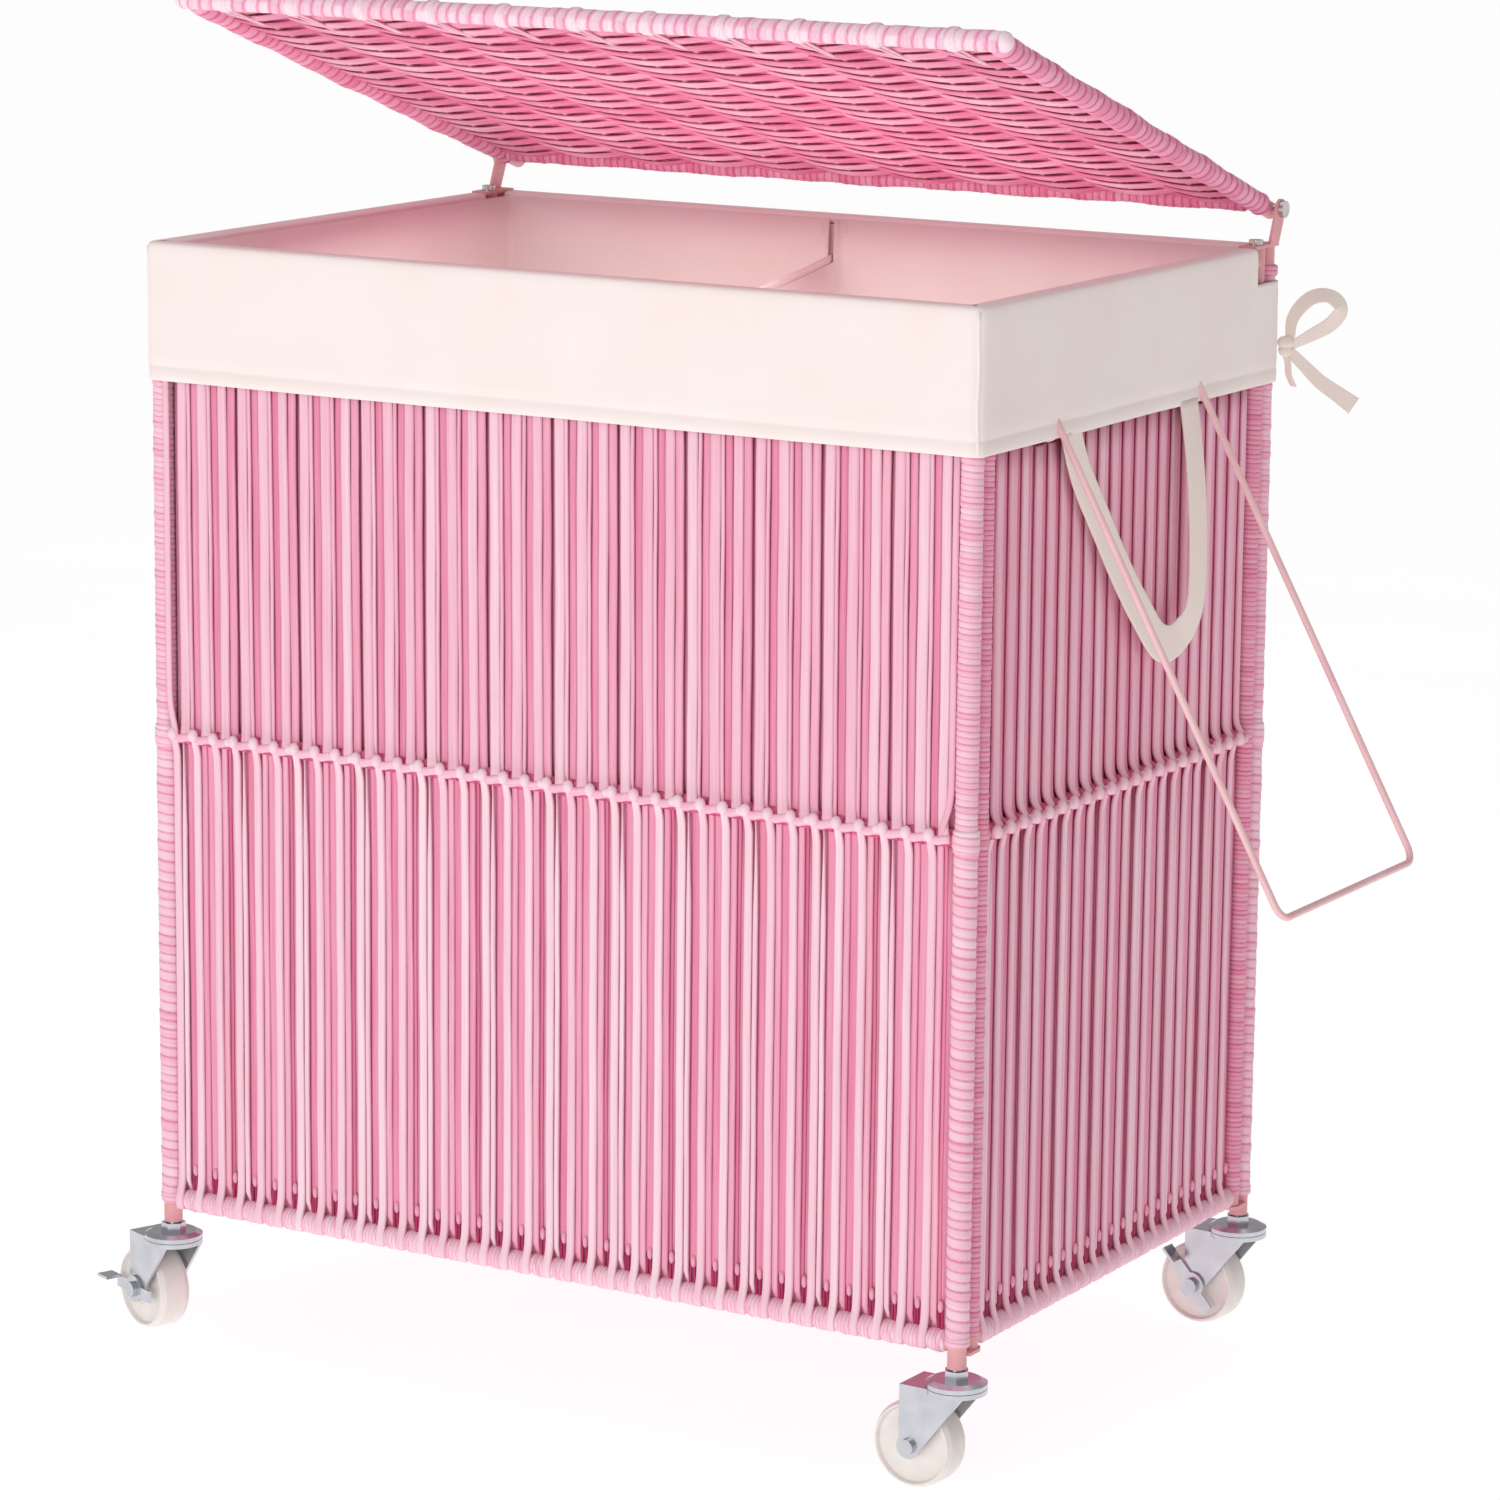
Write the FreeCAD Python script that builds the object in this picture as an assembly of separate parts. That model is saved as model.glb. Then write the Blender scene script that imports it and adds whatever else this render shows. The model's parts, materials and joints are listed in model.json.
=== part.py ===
import FreeCAD, Part
import math
import os

# Rolling laundry sorter: woven strands on a steel tube frame, a two-compartment liner, a hinged
# lid, a wire bail and four swivel castors.  Millimetres.  +X is the user's right, -Y the front,
# +Z up.  The origin is on the floor, midway between the four castor stems.

os.makedirs("parts", exist_ok=True)

V = FreeCAD.Vector
X_AXIS = V(1, 0, 0)
Y_AXIS = V(0, 1, 0)
Z_AXIS = V(0, 0, 1)
SIDES = {"left": -1, "right": 1}
ENDS = {"front": -1, "back": 1}

# Tubes and the strand wound round them
LEG_X = 292.0            # leg axes, left and right of the middle
LEG_Y = 195.0            # leg axes, in front of and behind the middle
TUBE_R = 6.0
RAIL_R = 5.5
TUBE_WALL = 1.2
WRAP = 0.9
WRAP_END_GAP = 0.4
LEG_BOTTOM = 78.0
FRONT_TOP = 716.0
BACK_TOP = 720.0
POST_Y = LEG_Y - 14.0    # side panel posts stand just inside the legs
BOTTOM_RAIL = 94.0
MID_RAIL = 404.0
TOP_RAIL = 711.0
LINK_LIFT = 7.5          # link plates, above the foot of the legs
LINK_R = 7.5
LINK_GRIP = 3.0          # how far short of the leg's axis a link plate stops

# Woven panels: ribbed sheets, one rib per pair of strands
WEAVE_T = 1.4
RIB_T = 1.2
RIB_PITCH = 15.8
RIB_SHARE = 0.62
WEAVE_GAP = 0.4

# Base panel
BASE_ROD_R = 4.0
BASE_Z = 107.2
BASE_X = 278.0
BASE_Y = 184.0
BASE_SHEET_T = 2.4
BAR_T = 2.4
BAR_W = 14.0
BAR_X = (-190.0, 0.0, 190.0)

# Liner
CLOTH = 2.0
BAG_X = 280.0
BAG_Y = 188.0
BAG_FLOOR = 111.6
RIM = 721.0
DIVIDER_X = -20.0
DIVIDER_T = 3.0
DIVIDER_TOP = 697.0
CUFF_X = 301.0
CUFF_Y = 204.0
CUFF_T = 1.6
CUFF_BOTTOM = 633.0
NOTCH_X = 284.0          # the cuff is cut away round the hinge brackets
NOTCH_Y = 167.0
NOTCH_Z = 698.0

# Carrying strap on the right side
STRAP_W = 22.0
STRAP_T = 2.0
STRAP_FRONT_Y = -90.0
STRAP_BACK_Y = 74.0
STRAP_LOW = 518.0        # height at which the back leg starts its turn
STRAP_BEND_R = 30.0

# Ribbon tie at the back right corner of the cuff
TIE_W = 11.0
TIE_T = 2.0
BOW_KNOT = 13.0
BOW_Z = 657.0
BOW_LOOP_T = 7.0
BOW_TAIL_DROP = 6.6      # where the tail leaves the knot
BOW_LOOP_TIP = (330.0, 236.0, 676.0)
BOW_TAIL_TIP = (336.0, 246.0, 612.0)
BOW_FOLD_TIP = (306.0, 214.0, 628.0)

# Wire bail on the right side, eyes wound round a rail hidden under the cuff
GRIP_RAIL_Z = 640.0
WIRE_R = 2.2
EYE_GAP = 0.3
EYE_R = RAIL_R + EYE_GAP + WIRE_R
BAIL_FRONT_Y = -104.0
BAIL_BACK_Y = 88.0
BAIL_ARM = 326.0
BAIL_BEND_R = 10.0
BAIL_ANGLE = 28.7        # degrees out from hanging, at rest
EYE_SLOT = 4.0           # free space each side of an eye
EYE_SLOT_ABOVE = 6.0     # and above it

# Lid
HINGE_Y = 205.0
HINGE_Z = 743.0
LID_ANGLE = 19.0         # degrees above level, at rest
LID_DEPTH = 394.0        # pivot to front rail
LID_X = 287.0
LID_TAIL = 7.0
LID_BACK_Y = HINGE_Y - 16.0
STAKE_R = 2.2
STAKE_COUNT = 11
STAKE_PITCH = 52.0
COLLAR_R = RAIL_R + WRAP + 1.1
COLLAR_W = 7.0
LID_SHEET_T = 2.4
LID_END_R = 6.4

# Hinge brackets and their screws
PLATE_T = 2.0
PLATE_HALF_W = 6.5
PLATE_FRONT = 169.0
UPRIGHT_X = 296.0
UPRIGHT_FOOT = (190.0, 202.5)
PIVOT_R = 2.5
PIVOT_FIT = 0.06
PIVOT_HEAD_R = 5.5
PIVOT_HEAD_T = 3.0
BRACKET_RIM = 1.0        # bracket metal outside the pivot's head
PIVOT_REACH = 1.0        # pivot, past the inside of the lid's side rail
SCREW_R = 2.0
SCREW_HEAD_R = 4.6
SCREW_HEAD_T = 3.2
SCREW_LENGTH = 16.0
PLUG_LENGTH = 25.0

# Castors
STEM_R = 4.0
STEM_LENGTH = 24.0
NUT_R = 8.0
NUT_GAP = 1.0            # between the nut and the foot of the leg
RACE_R = 19.0
RACE_TOP = 71.4
RACE_BOTTOM = 66.6
RACE_BEVEL = 2.0
FORK_TOP = 66.2
FORK_PLATE = 3.0
FORK_T = 2.0
FORK_FIT = 0.06
FORK_HALF_W = 12.6       # inside of each cheek
FORK_TAIL = 6.5          # plate and cheeks, behind the axle
FORK_LEAD = 6.0          # lower corner of a cheek, in front of the axle
FORK_DROP = 4.0          # and below it
BOSS_R = 8.0
RIVET_R = 6.0
RIVET_T = 2.4
RIVET_GAP = 0.3
TRAIL = 25.0
WHEEL_R = 27.5
WHEEL_HALF_W = 10.8
RIM_W = 4.0              # from the dished face to the tread
RIM_BEVEL = 1.0
HUB_R = 7.0
HUB_HALF_W = 12.3
RECESS = 2.6
TREAD_EDGE = 3.4         # width of the bevel along each edge of the tread
TREAD_DROP = 1.8         # and its fall
AXLE_R = 3.0
AXLE_FIT = 0.06
AXLE_HEAD_R = 5.0
AXLE_HEAD_T = 3.0
LEVER_T = 1.8
LEVER_R = 9.0
LEVER_ARM = 20.0
LEVER_TAB = 10.0
LEVER_TAB_W = 11.0
LEVER_HEEL = 20.0        # on the other side of the axle from the pedal
LEVER_BELOW = 3.0        # arm's lower and upper edges, from the axle's height
LEVER_ABOVE = 5.0

# name, x sign, y sign, heading of the wheel behind its stem, brake pedal angle or None
CASTORS = (
    ("front_left", -1, -1, 158.0, 0.0),
    ("front_right", 1, -1, 178.0, None),
    ("back_left", -1, 1, 172.0, None),
    ("back_right", 1, 1, 176.0, 48.0),
)


def save(node, *solids):
    """Write one sub-part; several solids go out as one group."""
    shape = solids[0] if len(solids) == 1 else Part.makeCompound(list(solids))
    shape.exportStep(f"parts/{node}.step")


def slab(x0, x1, y0, y1, z0, z1):
    """Box between two corners."""
    return Part.makeBox(x1 - x0, y1 - y0, z1 - z0, V(x0, y0, z0))


def rod(start, end, radius):
    """Round bar between two points."""
    run = end - start
    return Part.makeCylinder(radius, run.Length, start, run)


def pipe(start, end, outer, inner):
    """Round tube between two points."""
    return rod(start, end, outer).cut(rod(start, end, inner))


def prism(points, offset):
    """Flat outline pushed out into a solid."""
    return Part.Face(Part.makePolygon(points + points[:1])).extrude(offset)


def strip(start, end, width_dir, width, thickness):
    """Flat ribbon between two points, width_dir giving the direction of its width."""
    run = end - start
    across = width_dir.sub(run * (width_dir.dot(run) / run.dot(run))).normalize() * (width / 2)
    lift = run.cross(across).normalize() * (thickness / 2)
    corners = [start - across - lift, end - across - lift, end + across - lift, start + across - lift]
    return prism(corners, lift * 2)


def top_of(end):
    return FRONT_TOP if ENDS[end] < 0 else BACK_TOP


# ---- legs, rails and posts -------------------------------------------------------------------------

def legs():
    for end, y_sign in ENDS.items():
        for side, x_sign in SIDES.items():
            x = x_sign * LEG_X
            y = y_sign * LEG_Y
            tube = pipe(V(x, y, LEG_BOTTOM), V(x, y, top_of(end)), TUBE_R, TUBE_R - TUBE_WALL)
            save(f"leg_{end}_{side}", tube)


def leg_plugs():
    """Threaded plug in the foot of each leg, for the castor stem."""
    plugs = []
    for x in (-LEG_X, LEG_X):
        for y in (-LEG_Y, LEG_Y):
            foot = V(x, y, LEG_BOTTOM)
            plugs.append(pipe(foot, foot + Z_AXIS * PLUG_LENGTH, TUBE_R - TUBE_WALL, STEM_R))
    save("leg_plugs", *plugs)


def cross_rails():
    """Three rails between the two front legs, and three between the two back legs."""
    for end, y_sign in ENDS.items():
        rails = []
        y = y_sign * LEG_Y
        for z in (BOTTOM_RAIL, MID_RAIL, TOP_RAIL):
            rail = pipe(V(-LEG_X, y, z), V(LEG_X, y, z), RAIL_R, RAIL_R - TUBE_WALL)
            for x in (-LEG_X, LEG_X):
                rail = rail.cut(rod(V(x, y, z - 2 * TUBE_R), V(x, y, z + 2 * TUBE_R), TUBE_R))
            rails.append(rail)
        save(f"{end}_rails", *rails)


def side_frames():
    """Each side panel has its own two posts and its own rails."""
    for side, x_sign in SIDES.items():
        x = x_sign * LEG_X
        heights = [BOTTOM_RAIL, MID_RAIL, TOP_RAIL]
        if side == "right":
            heights.append(GRIP_RAIL_Z)
        solids = []
        for end, y_sign in ENDS.items():
            y = y_sign * POST_Y
            foot = LEG_BOTTOM + LINK_LIFT + PLATE_T
            solids.append(pipe(V(x, y, foot), V(x, y, top_of(end)), TUBE_R, TUBE_R - TUBE_WALL))
        for z in heights:
            rail = pipe(V(x, -POST_Y, z), V(x, POST_Y, z), RAIL_R, RAIL_R - TUBE_WALL)
            for y in (-POST_Y, POST_Y):
                rail = rail.cut(rod(V(x, y, z - 2 * TUBE_R), V(x, y, z + 2 * TUBE_R), TUBE_R))
            solids.append(rail)
        save(f"side_frame_{side}", *solids)


def link_plates():
    """Flat plate under each side post, reaching across to the bare foot of the leg beside it."""
    plates = []
    for x in (-LEG_X, LEG_X):
        for y_sign in (-1, 1):
            z = LEG_BOTTOM + LINK_LIFT
            leg = V(x, y_sign * LEG_Y, z)
            post = V(x, y_sign * POST_Y, z)
            plate = rod(post, post + Z_AXIS * PLATE_T, LINK_R)
            y_low, y_high = sorted((leg.y - y_sign * LINK_GRIP, post.y))
            plate = plate.fuse(slab(x - LINK_R, x + LINK_R, y_low, y_high, z, z + PLATE_T))
            plate = plate.cut(rod(leg, leg + Z_AXIS * PLATE_T, TUBE_R)).removeSplitter()
            plates.append(plate)
    save("link_plates", *plates)


def wraps():
    """Strand wound round the tubes, between the places where tubes meet."""
    clear = RAIL_R + WRAP_END_GAP
    spans = [(BOTTOM_RAIL + clear, MID_RAIL - clear), (MID_RAIL + clear, TOP_RAIL - clear)]
    uprights = []
    for x_sign in (-1, 1):
        for y_sign in (-1, 1):
            for y in (LEG_Y, POST_Y):
                for low, high in spans:
                    foot = V(x_sign * LEG_X, y_sign * y, low)
                    head = V(x_sign * LEG_X, y_sign * y, high)
                    if y == POST_Y and x_sign > 0 and high > GRIP_RAIL_Z:
                        head.z = GRIP_RAIL_Z - clear
                    uprights.append(pipe(foot, head, TUBE_R + WRAP, TUBE_R))
    save("upright_wraps", *uprights)

    rails = []
    for z in (BOTTOM_RAIL, MID_RAIL):
        for sign in (-1, 1):
            x_end = LEG_X - TUBE_R - WRAP - WRAP_END_GAP
            y_end = POST_Y - TUBE_R - WRAP - WRAP_END_GAP
            y = sign * LEG_Y
            x = sign * LEG_X
            rails.append(pipe(V(-x_end, y, z), V(x_end, y, z), RAIL_R + WRAP, RAIL_R))
            rails.append(pipe(V(x, -y_end, z), V(x, y_end, z), RAIL_R + WRAP, RAIL_R))
    save("rail_wraps", *rails)


# ---- woven panels ----------------------------------------------------------------------------------

def ribbed_sheet(half_width, z0, z1):
    """Upright sheet in the XZ plane with a row of ribs on its -Y face, centred on x = 0."""
    count = int(2 * half_width // RIB_PITCH)
    pitch = 2 * half_width / count
    rib = pitch * RIB_SHARE
    back = WEAVE_T / 2
    front = -WEAVE_T / 2
    points = [V(half_width, back, z0), V(-half_width, back, z0)]
    for i in range(count):
        start = -half_width + i * pitch + (pitch - rib) / 2
        points.append(V(start, front, z0))
        points.append(V(start, front - RIB_T, z0))
        points.append(V(start + rib, front - RIB_T, z0))
        points.append(V(start + rib, front, z0))
    points.insert(2, V(-half_width, front, z0))
    points.append(V(half_width, front, z0))
    return prism(points, Z_AXIS * (z1 - z0))


def woven_panels():
    """Two ribbed sheets per face: bottom rail to middle rail, and middle rail to top rail."""
    low = (BOTTOM_RAIL + RAIL_R + WRAP + WEAVE_GAP, MID_RAIL - RAIL_R - WRAP - WEAVE_GAP)
    high = (MID_RAIL + RAIL_R + WRAP + WEAVE_GAP, TOP_RAIL - RAIL_R - WEAVE_GAP)
    edge = TUBE_R + WRAP + WEAVE_GAP
    faces = {
        "front": (LEG_X - edge, V(0, -LEG_Y, 0), 0),
        "back": (LEG_X - edge, V(0, LEG_Y, 0), 180),
        "right": (POST_Y - edge, V(LEG_X, 0, 0), 90),
        "left": (POST_Y - edge, V(-LEG_X, 0, 0), 270),
    }
    for face, (half_width, middle, turn) in faces.items():
        sheets = []
        for z0, z1 in (low, high):
            if face == "right" and z1 > GRIP_RAIL_Z:
                z1 = GRIP_RAIL_Z - EYE_R - WIRE_R - WEAVE_GAP
            sheet = ribbed_sheet(half_width, z0, z1)
            sheet.rotate(V(0, 0, 0), Z_AXIS, turn)
            sheet.translate(middle)
            sheets.append(sheet)
        save(f"weave_{face}", *sheets)


# ---- base ------------------------------------------------------------------------------------------

def base():
    rods = []
    inner_y = BASE_Y - BASE_ROD_R
    for sign in (-1, 1):
        y = sign * BASE_Y
        x = sign * BASE_X
        rods.append(rod(V(-BASE_X - BASE_ROD_R, y, BASE_Z), V(BASE_X + BASE_ROD_R, y, BASE_Z), BASE_ROD_R))
        rods.append(rod(V(x, -inner_y, BASE_Z), V(x, inner_y, BASE_Z), BASE_ROD_R))
    save("base_frame", *rods)

    half_x = BASE_X - BASE_ROD_R
    sheet = slab(-half_x, half_x, -inner_y, inner_y, BASE_Z - BASE_SHEET_T / 2, BASE_Z + BASE_SHEET_T / 2)
    save("base_weave", sheet)

    bars = []
    top = BASE_Z - BASE_ROD_R
    reach = LEG_Y - RIB_T
    for x in BAR_X:
        bars.append(slab(x - BAR_W / 2, x + BAR_W / 2, -reach, reach, top - BAR_T, top))
    save("base_bars", *bars)


# ---- liner -----------------------------------------------------------------------------------------

def bag(x0, x1, outer_x0, outer_x1):
    """Front, back and outer end wall of one compartment, and its floor; the divider closes it."""
    top = RIM - CLOTH
    inner_y = BAG_Y - CLOTH
    walls = [
        slab(outer_x0, outer_x1, -BAG_Y, -inner_y, BAG_FLOOR, top),
        slab(outer_x0, outer_x1, inner_y, BAG_Y, BAG_FLOOR, top),
        slab(x0, x1, -inner_y, inner_y, BAG_FLOOR, BAG_FLOOR + CLOTH),
    ]
    if outer_x0 < x0:
        walls.append(slab(outer_x0, x0, -inner_y, inner_y, BAG_FLOOR, top))
    else:
        walls.append(slab(x1, outer_x1, -inner_y, inner_y, BAG_FLOOR, top))
    return walls


def liner():
    left_end = DIVIDER_X - DIVIDER_T / 2
    right_end = DIVIDER_X + DIVIDER_T / 2
    save("liner_bag_left", *bag(-BAG_X + CLOTH, left_end, -BAG_X, left_end))
    save("liner_bag_right", *bag(right_end, BAG_X - CLOTH, right_end, BAG_X))

    inner_y = BAG_Y - CLOTH
    save("liner_divider", slab(left_end, right_end, -inner_y, inner_y, BAG_FLOOR, DIVIDER_TOP))


def cuff():
    """The liner's turned-over top: a skirt outside the frame and a strip over the top rails."""
    skirt_top = RIM - CLOTH
    in_x = CUFF_X - CUFF_T
    in_y = CUFF_Y - CUFF_T
    pieces = [
        slab(-CUFF_X, CUFF_X, -CUFF_Y, -in_y, CUFF_BOTTOM, skirt_top),
        slab(-NOTCH_X, NOTCH_X, in_y, CUFF_Y, CUFF_BOTTOM, skirt_top),
        slab(-CUFF_X, -in_x, -in_y, NOTCH_Y, CUFF_BOTTOM, skirt_top),
        slab(-CUFF_X, CUFF_X, -CUFF_Y, -BAG_Y, skirt_top, RIM),
        slab(-NOTCH_X, NOTCH_X, BAG_Y, CUFF_Y, skirt_top, RIM),
    ]
    for sign in (-1, 1):
        outer = sorted((sign * CUFF_X, sign * in_x))
        back = sorted((sign * CUFF_X, sign * NOTCH_X))
        over = sorted((sign * CUFF_X, sign * BAG_X))
        inner = sorted((sign * BAG_X, sign * (BAG_X - CLOTH)))
        pieces.append(slab(outer[0], outer[1], NOTCH_Y, in_y, CUFF_BOTTOM, NOTCH_Z))
        pieces.append(slab(back[0], back[1], in_y, CUFF_Y, CUFF_BOTTOM, NOTCH_Z))
        pieces.append(slab(over[0], over[1], -BAG_Y, NOTCH_Y, skirt_top, RIM))
        pieces.append(slab(inner[0], inner[1], NOTCH_Y, BAG_Y, skirt_top, RIM))

    slot = WIRE_R + EYE_SLOT
    slot_top = GRIP_RAIL_Z + EYE_R + WIRE_R + EYE_SLOT_ABOVE
    edges = [-in_y, BAIL_FRONT_Y - slot, BAIL_FRONT_Y + slot, BAIL_BACK_Y - slot, BAIL_BACK_Y + slot, NOTCH_Y]
    pieces.append(slab(in_x, CUFF_X, -in_y, NOTCH_Y, slot_top, skirt_top))
    for start, end in zip(edges[::2], edges[1::2]):
        pieces.append(slab(in_x, CUFF_X, start, end, CUFF_BOTTOM, slot_top))
    save("liner_cuff", *pieces)


def strap():
    """U-shaped cloth strap sewn to the lower edge of the cuff, the front leg slanting back."""
    x = CUFF_X - CUFF_T + STRAP_T / 2
    back_leg_end = V(x, STRAP_BACK_Y, STRAP_LOW)
    centre = back_leg_end - Y_AXIS * STRAP_BEND_R
    start = V(x, STRAP_FRONT_Y, CUFF_BOTTOM)
    reach = centre - start
    # The front leg leaves its top end tangent to the bend at the bottom.
    slope = math.atan2(reach.z, reach.y) - math.asin(STRAP_BEND_R / reach.Length)
    tangent = centre + V(0, math.sin(slope), -math.cos(slope)) * STRAP_BEND_R
    low = math.atan2(tangent.z - centre.z, tangent.y - centre.y) / 2
    middle = centre + V(0, math.cos(low), math.sin(low)) * STRAP_BEND_R
    path = Part.Wire([
        Part.makeLine(start, tangent),
        Part.Arc(tangent, middle, back_leg_end).toShape(),
        Part.makeLine(back_leg_end, V(x, STRAP_BACK_Y, CUFF_BOTTOM)),
    ])
    along = (tangent - start).normalize()
    across = along.cross(X_AXIS).normalize() * (STRAP_W / 2)
    deep = X_AXIS * (STRAP_T / 2)
    corners = [start + across + deep, start - across + deep, start - across - deep, start + across - deep]
    section = Part.makePolygon(corners + corners[:1])
    band = path.makePipeShell([section], True, False)
    above = slab(x - STRAP_T, x + STRAP_T, -LEG_Y, LEG_Y, CUFF_BOTTOM, RIM)
    save("strap_handle", band.cut(above))


def tie_bow():
    """Ribbon tie at the back right corner: knot, one loop, one tail and one short end."""
    knot = V(CUFF_X + BOW_KNOT / 2, CUFF_Y + BOW_KNOT / 2, BOW_Z)
    half = BOW_KNOT / 2 - TIE_T / 4
    side = knot + V(BOW_KNOT / 2 + TIE_T, TIE_T, 0)
    below = knot - Z_AXIS * (half + TIE_T / 2)
    save(
        "tie_bow",
        slab(knot.x - half, knot.x + half, knot.y - half, knot.y + half, knot.z - half, knot.z + half),
        strip(side + Z_AXIS * (TIE_W / 2), V(*BOW_LOOP_TIP), Z_AXIS, TIE_W, BOW_LOOP_T),
        strip(side - Z_AXIS * BOW_TAIL_DROP, V(*BOW_TAIL_TIP), Z_AXIS, TIE_W, TIE_T),
        strip(below, V(*BOW_FOLD_TIP), X_AXIS, BOW_KNOT / 2, TIE_T),
    )


# ---- wire bail -------------------------------------------------------------------------------------

def bail():
    """U of wire whose two ends are closed eyes round the grip rail; built hanging, then swung out."""
    pivot = V(LEG_X, 0, GRIP_RAIL_Z)
    x = LEG_X + EYE_R
    bottom = GRIP_RAIL_Z - BAIL_ARM
    bend = BAIL_BEND_R
    front = BAIL_FRONT_Y
    back = BAIL_BACK_Y
    diagonal = bend * (1 - math.sqrt(0.5))
    path = Part.Wire([
        Part.makeLine(V(x, front, GRIP_RAIL_Z), V(x, front, bottom + bend)),
        Part.Arc(V(x, front, bottom + bend), V(x, front + diagonal, bottom + diagonal),
                 V(x, front + bend, bottom)).toShape(),
        Part.makeLine(V(x, front + bend, bottom), V(x, back - bend, bottom)),
        Part.Arc(V(x, back - bend, bottom), V(x, back - diagonal, bottom + diagonal),
                 V(x, back, bottom + bend)).toShape(),
        Part.makeLine(V(x, back, bottom + bend), V(x, back, GRIP_RAIL_Z)),
    ])
    section = Part.Wire(Part.makeCircle(WIRE_R, V(x, front, GRIP_RAIL_Z), Z_AXIS))
    wire = path.makePipeShell([section], True, False)
    for y in (front, back):
        wire = wire.fuse(Part.makeTorus(EYE_R, WIRE_R, V(LEG_X, y, GRIP_RAIL_Z), Y_AXIS))
    wire.rotate(pivot, Y_AXIS, -BAIL_ANGLE)
    save("wire_bail", wire)


# ---- lid -------------------------------------------------------------------------------------------

def swing(shape):
    """Turn a lid piece from level to its rest angle about the hinge line."""
    turned = shape.copy()
    turned.rotate(V(0, HINGE_Y, HINGE_Z), X_AXIS, -LID_ANGLE)
    return turned


def stake_places():
    first = -STAKE_PITCH * (STAKE_COUNT - 1) / 2
    return [first + i * STAKE_PITCH for i in range(STAKE_COUNT)]


def lid():
    front_y = HINGE_Y - LID_DEPTH
    z = HINGE_Z
    outer = RAIL_R + WRAP
    front = V(LID_X + outer - WRAP, front_y, z)
    rail_inner = RAIL_R - TUBE_WALL

    front_rail = pipe(V(-front.x, front_y, z), front, RAIL_R, rail_inner)
    save("lid_front_rail", swing(front_rail))
    back_end = LID_X - RAIL_R
    save("lid_back_rail", swing(pipe(V(-back_end, LID_BACK_Y, z), V(back_end, LID_BACK_Y, z),
                                     RAIL_R - WRAP, rail_inner - WRAP)))

    for side, sign in SIDES.items():
        x = sign * LID_X
        rail = pipe(V(x, front_y, z), V(x, HINGE_Y + LID_TAIL, z), RAIL_R, rail_inner)
        rail = rail.cut(rod(V(x - 2 * outer, front_y, z), V(x + 2 * outer, front_y, z), outer))
        bore = rod(V(x - outer, HINGE_Y, z), V(x + outer, HINGE_Y, z), PIVOT_R + PIVOT_FIT)
        across = rod(V(-back_end, LID_BACK_Y, z), V(back_end, LID_BACK_Y, z), RAIL_R - WRAP)
        save(f"lid_side_rail_{side}", swing(rail.cut(bore).cut(across)))

    caps = []
    for sign in (-1, 1):
        end = V(sign * front.x, front_y, z)
        caps.append(swing(Part.makeSphere(LID_END_R, end, X_AXIS * sign, 0, 90, 360)))
    save("lid_end_caps", *caps)

    stakes = []
    stake_end = LID_BACK_Y - RAIL_R + WRAP
    for x in stake_places():
        stakes.append(swing(rod(V(x, front_y + RAIL_R, z), V(x, stake_end, z), STAKE_R)))
    save("lid_stakes", *stakes)

    collars = []
    for x in stake_places():
        half = COLLAR_W / 2
        collar = pipe(V(x - half, front_y, z), V(x + half, front_y, z), COLLAR_R, outer)
        collars.append(swing(collar.cut(rod(V(x, front_y, z), V(x, stake_end, z), STAKE_R))))
    save("lid_collars", *collars)

    skins = []
    edges = [-front.x] + stake_places() + [front.x]
    for start, end in zip(edges, edges[1:]):
        low = start + (STAKE_R if start != edges[0] else 0)
        high = end - (STAKE_R if end != edges[-1] else 0)
        skins.append(swing(pipe(V(low, front_y, z), V(high, front_y, z), outer, RAIL_R)))
    save("lid_rail_wraps", *skins)

    strips = []
    inner_edges = [-LID_X + RAIL_R] + stake_places() + [LID_X - RAIL_R]
    half_t = LID_SHEET_T / 2
    for start, end in zip(inner_edges, inner_edges[1:]):
        low = start + (STAKE_R if start in stake_places() else 0)
        high = end - (STAKE_R if end in stake_places() else 0)
        y0 = front_y + COLLAR_R + WEAVE_GAP
        strips.append(swing(slab(low, high, y0, stake_end, z - half_t, z + half_t)))
    save("lid_weave", *strips)


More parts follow.
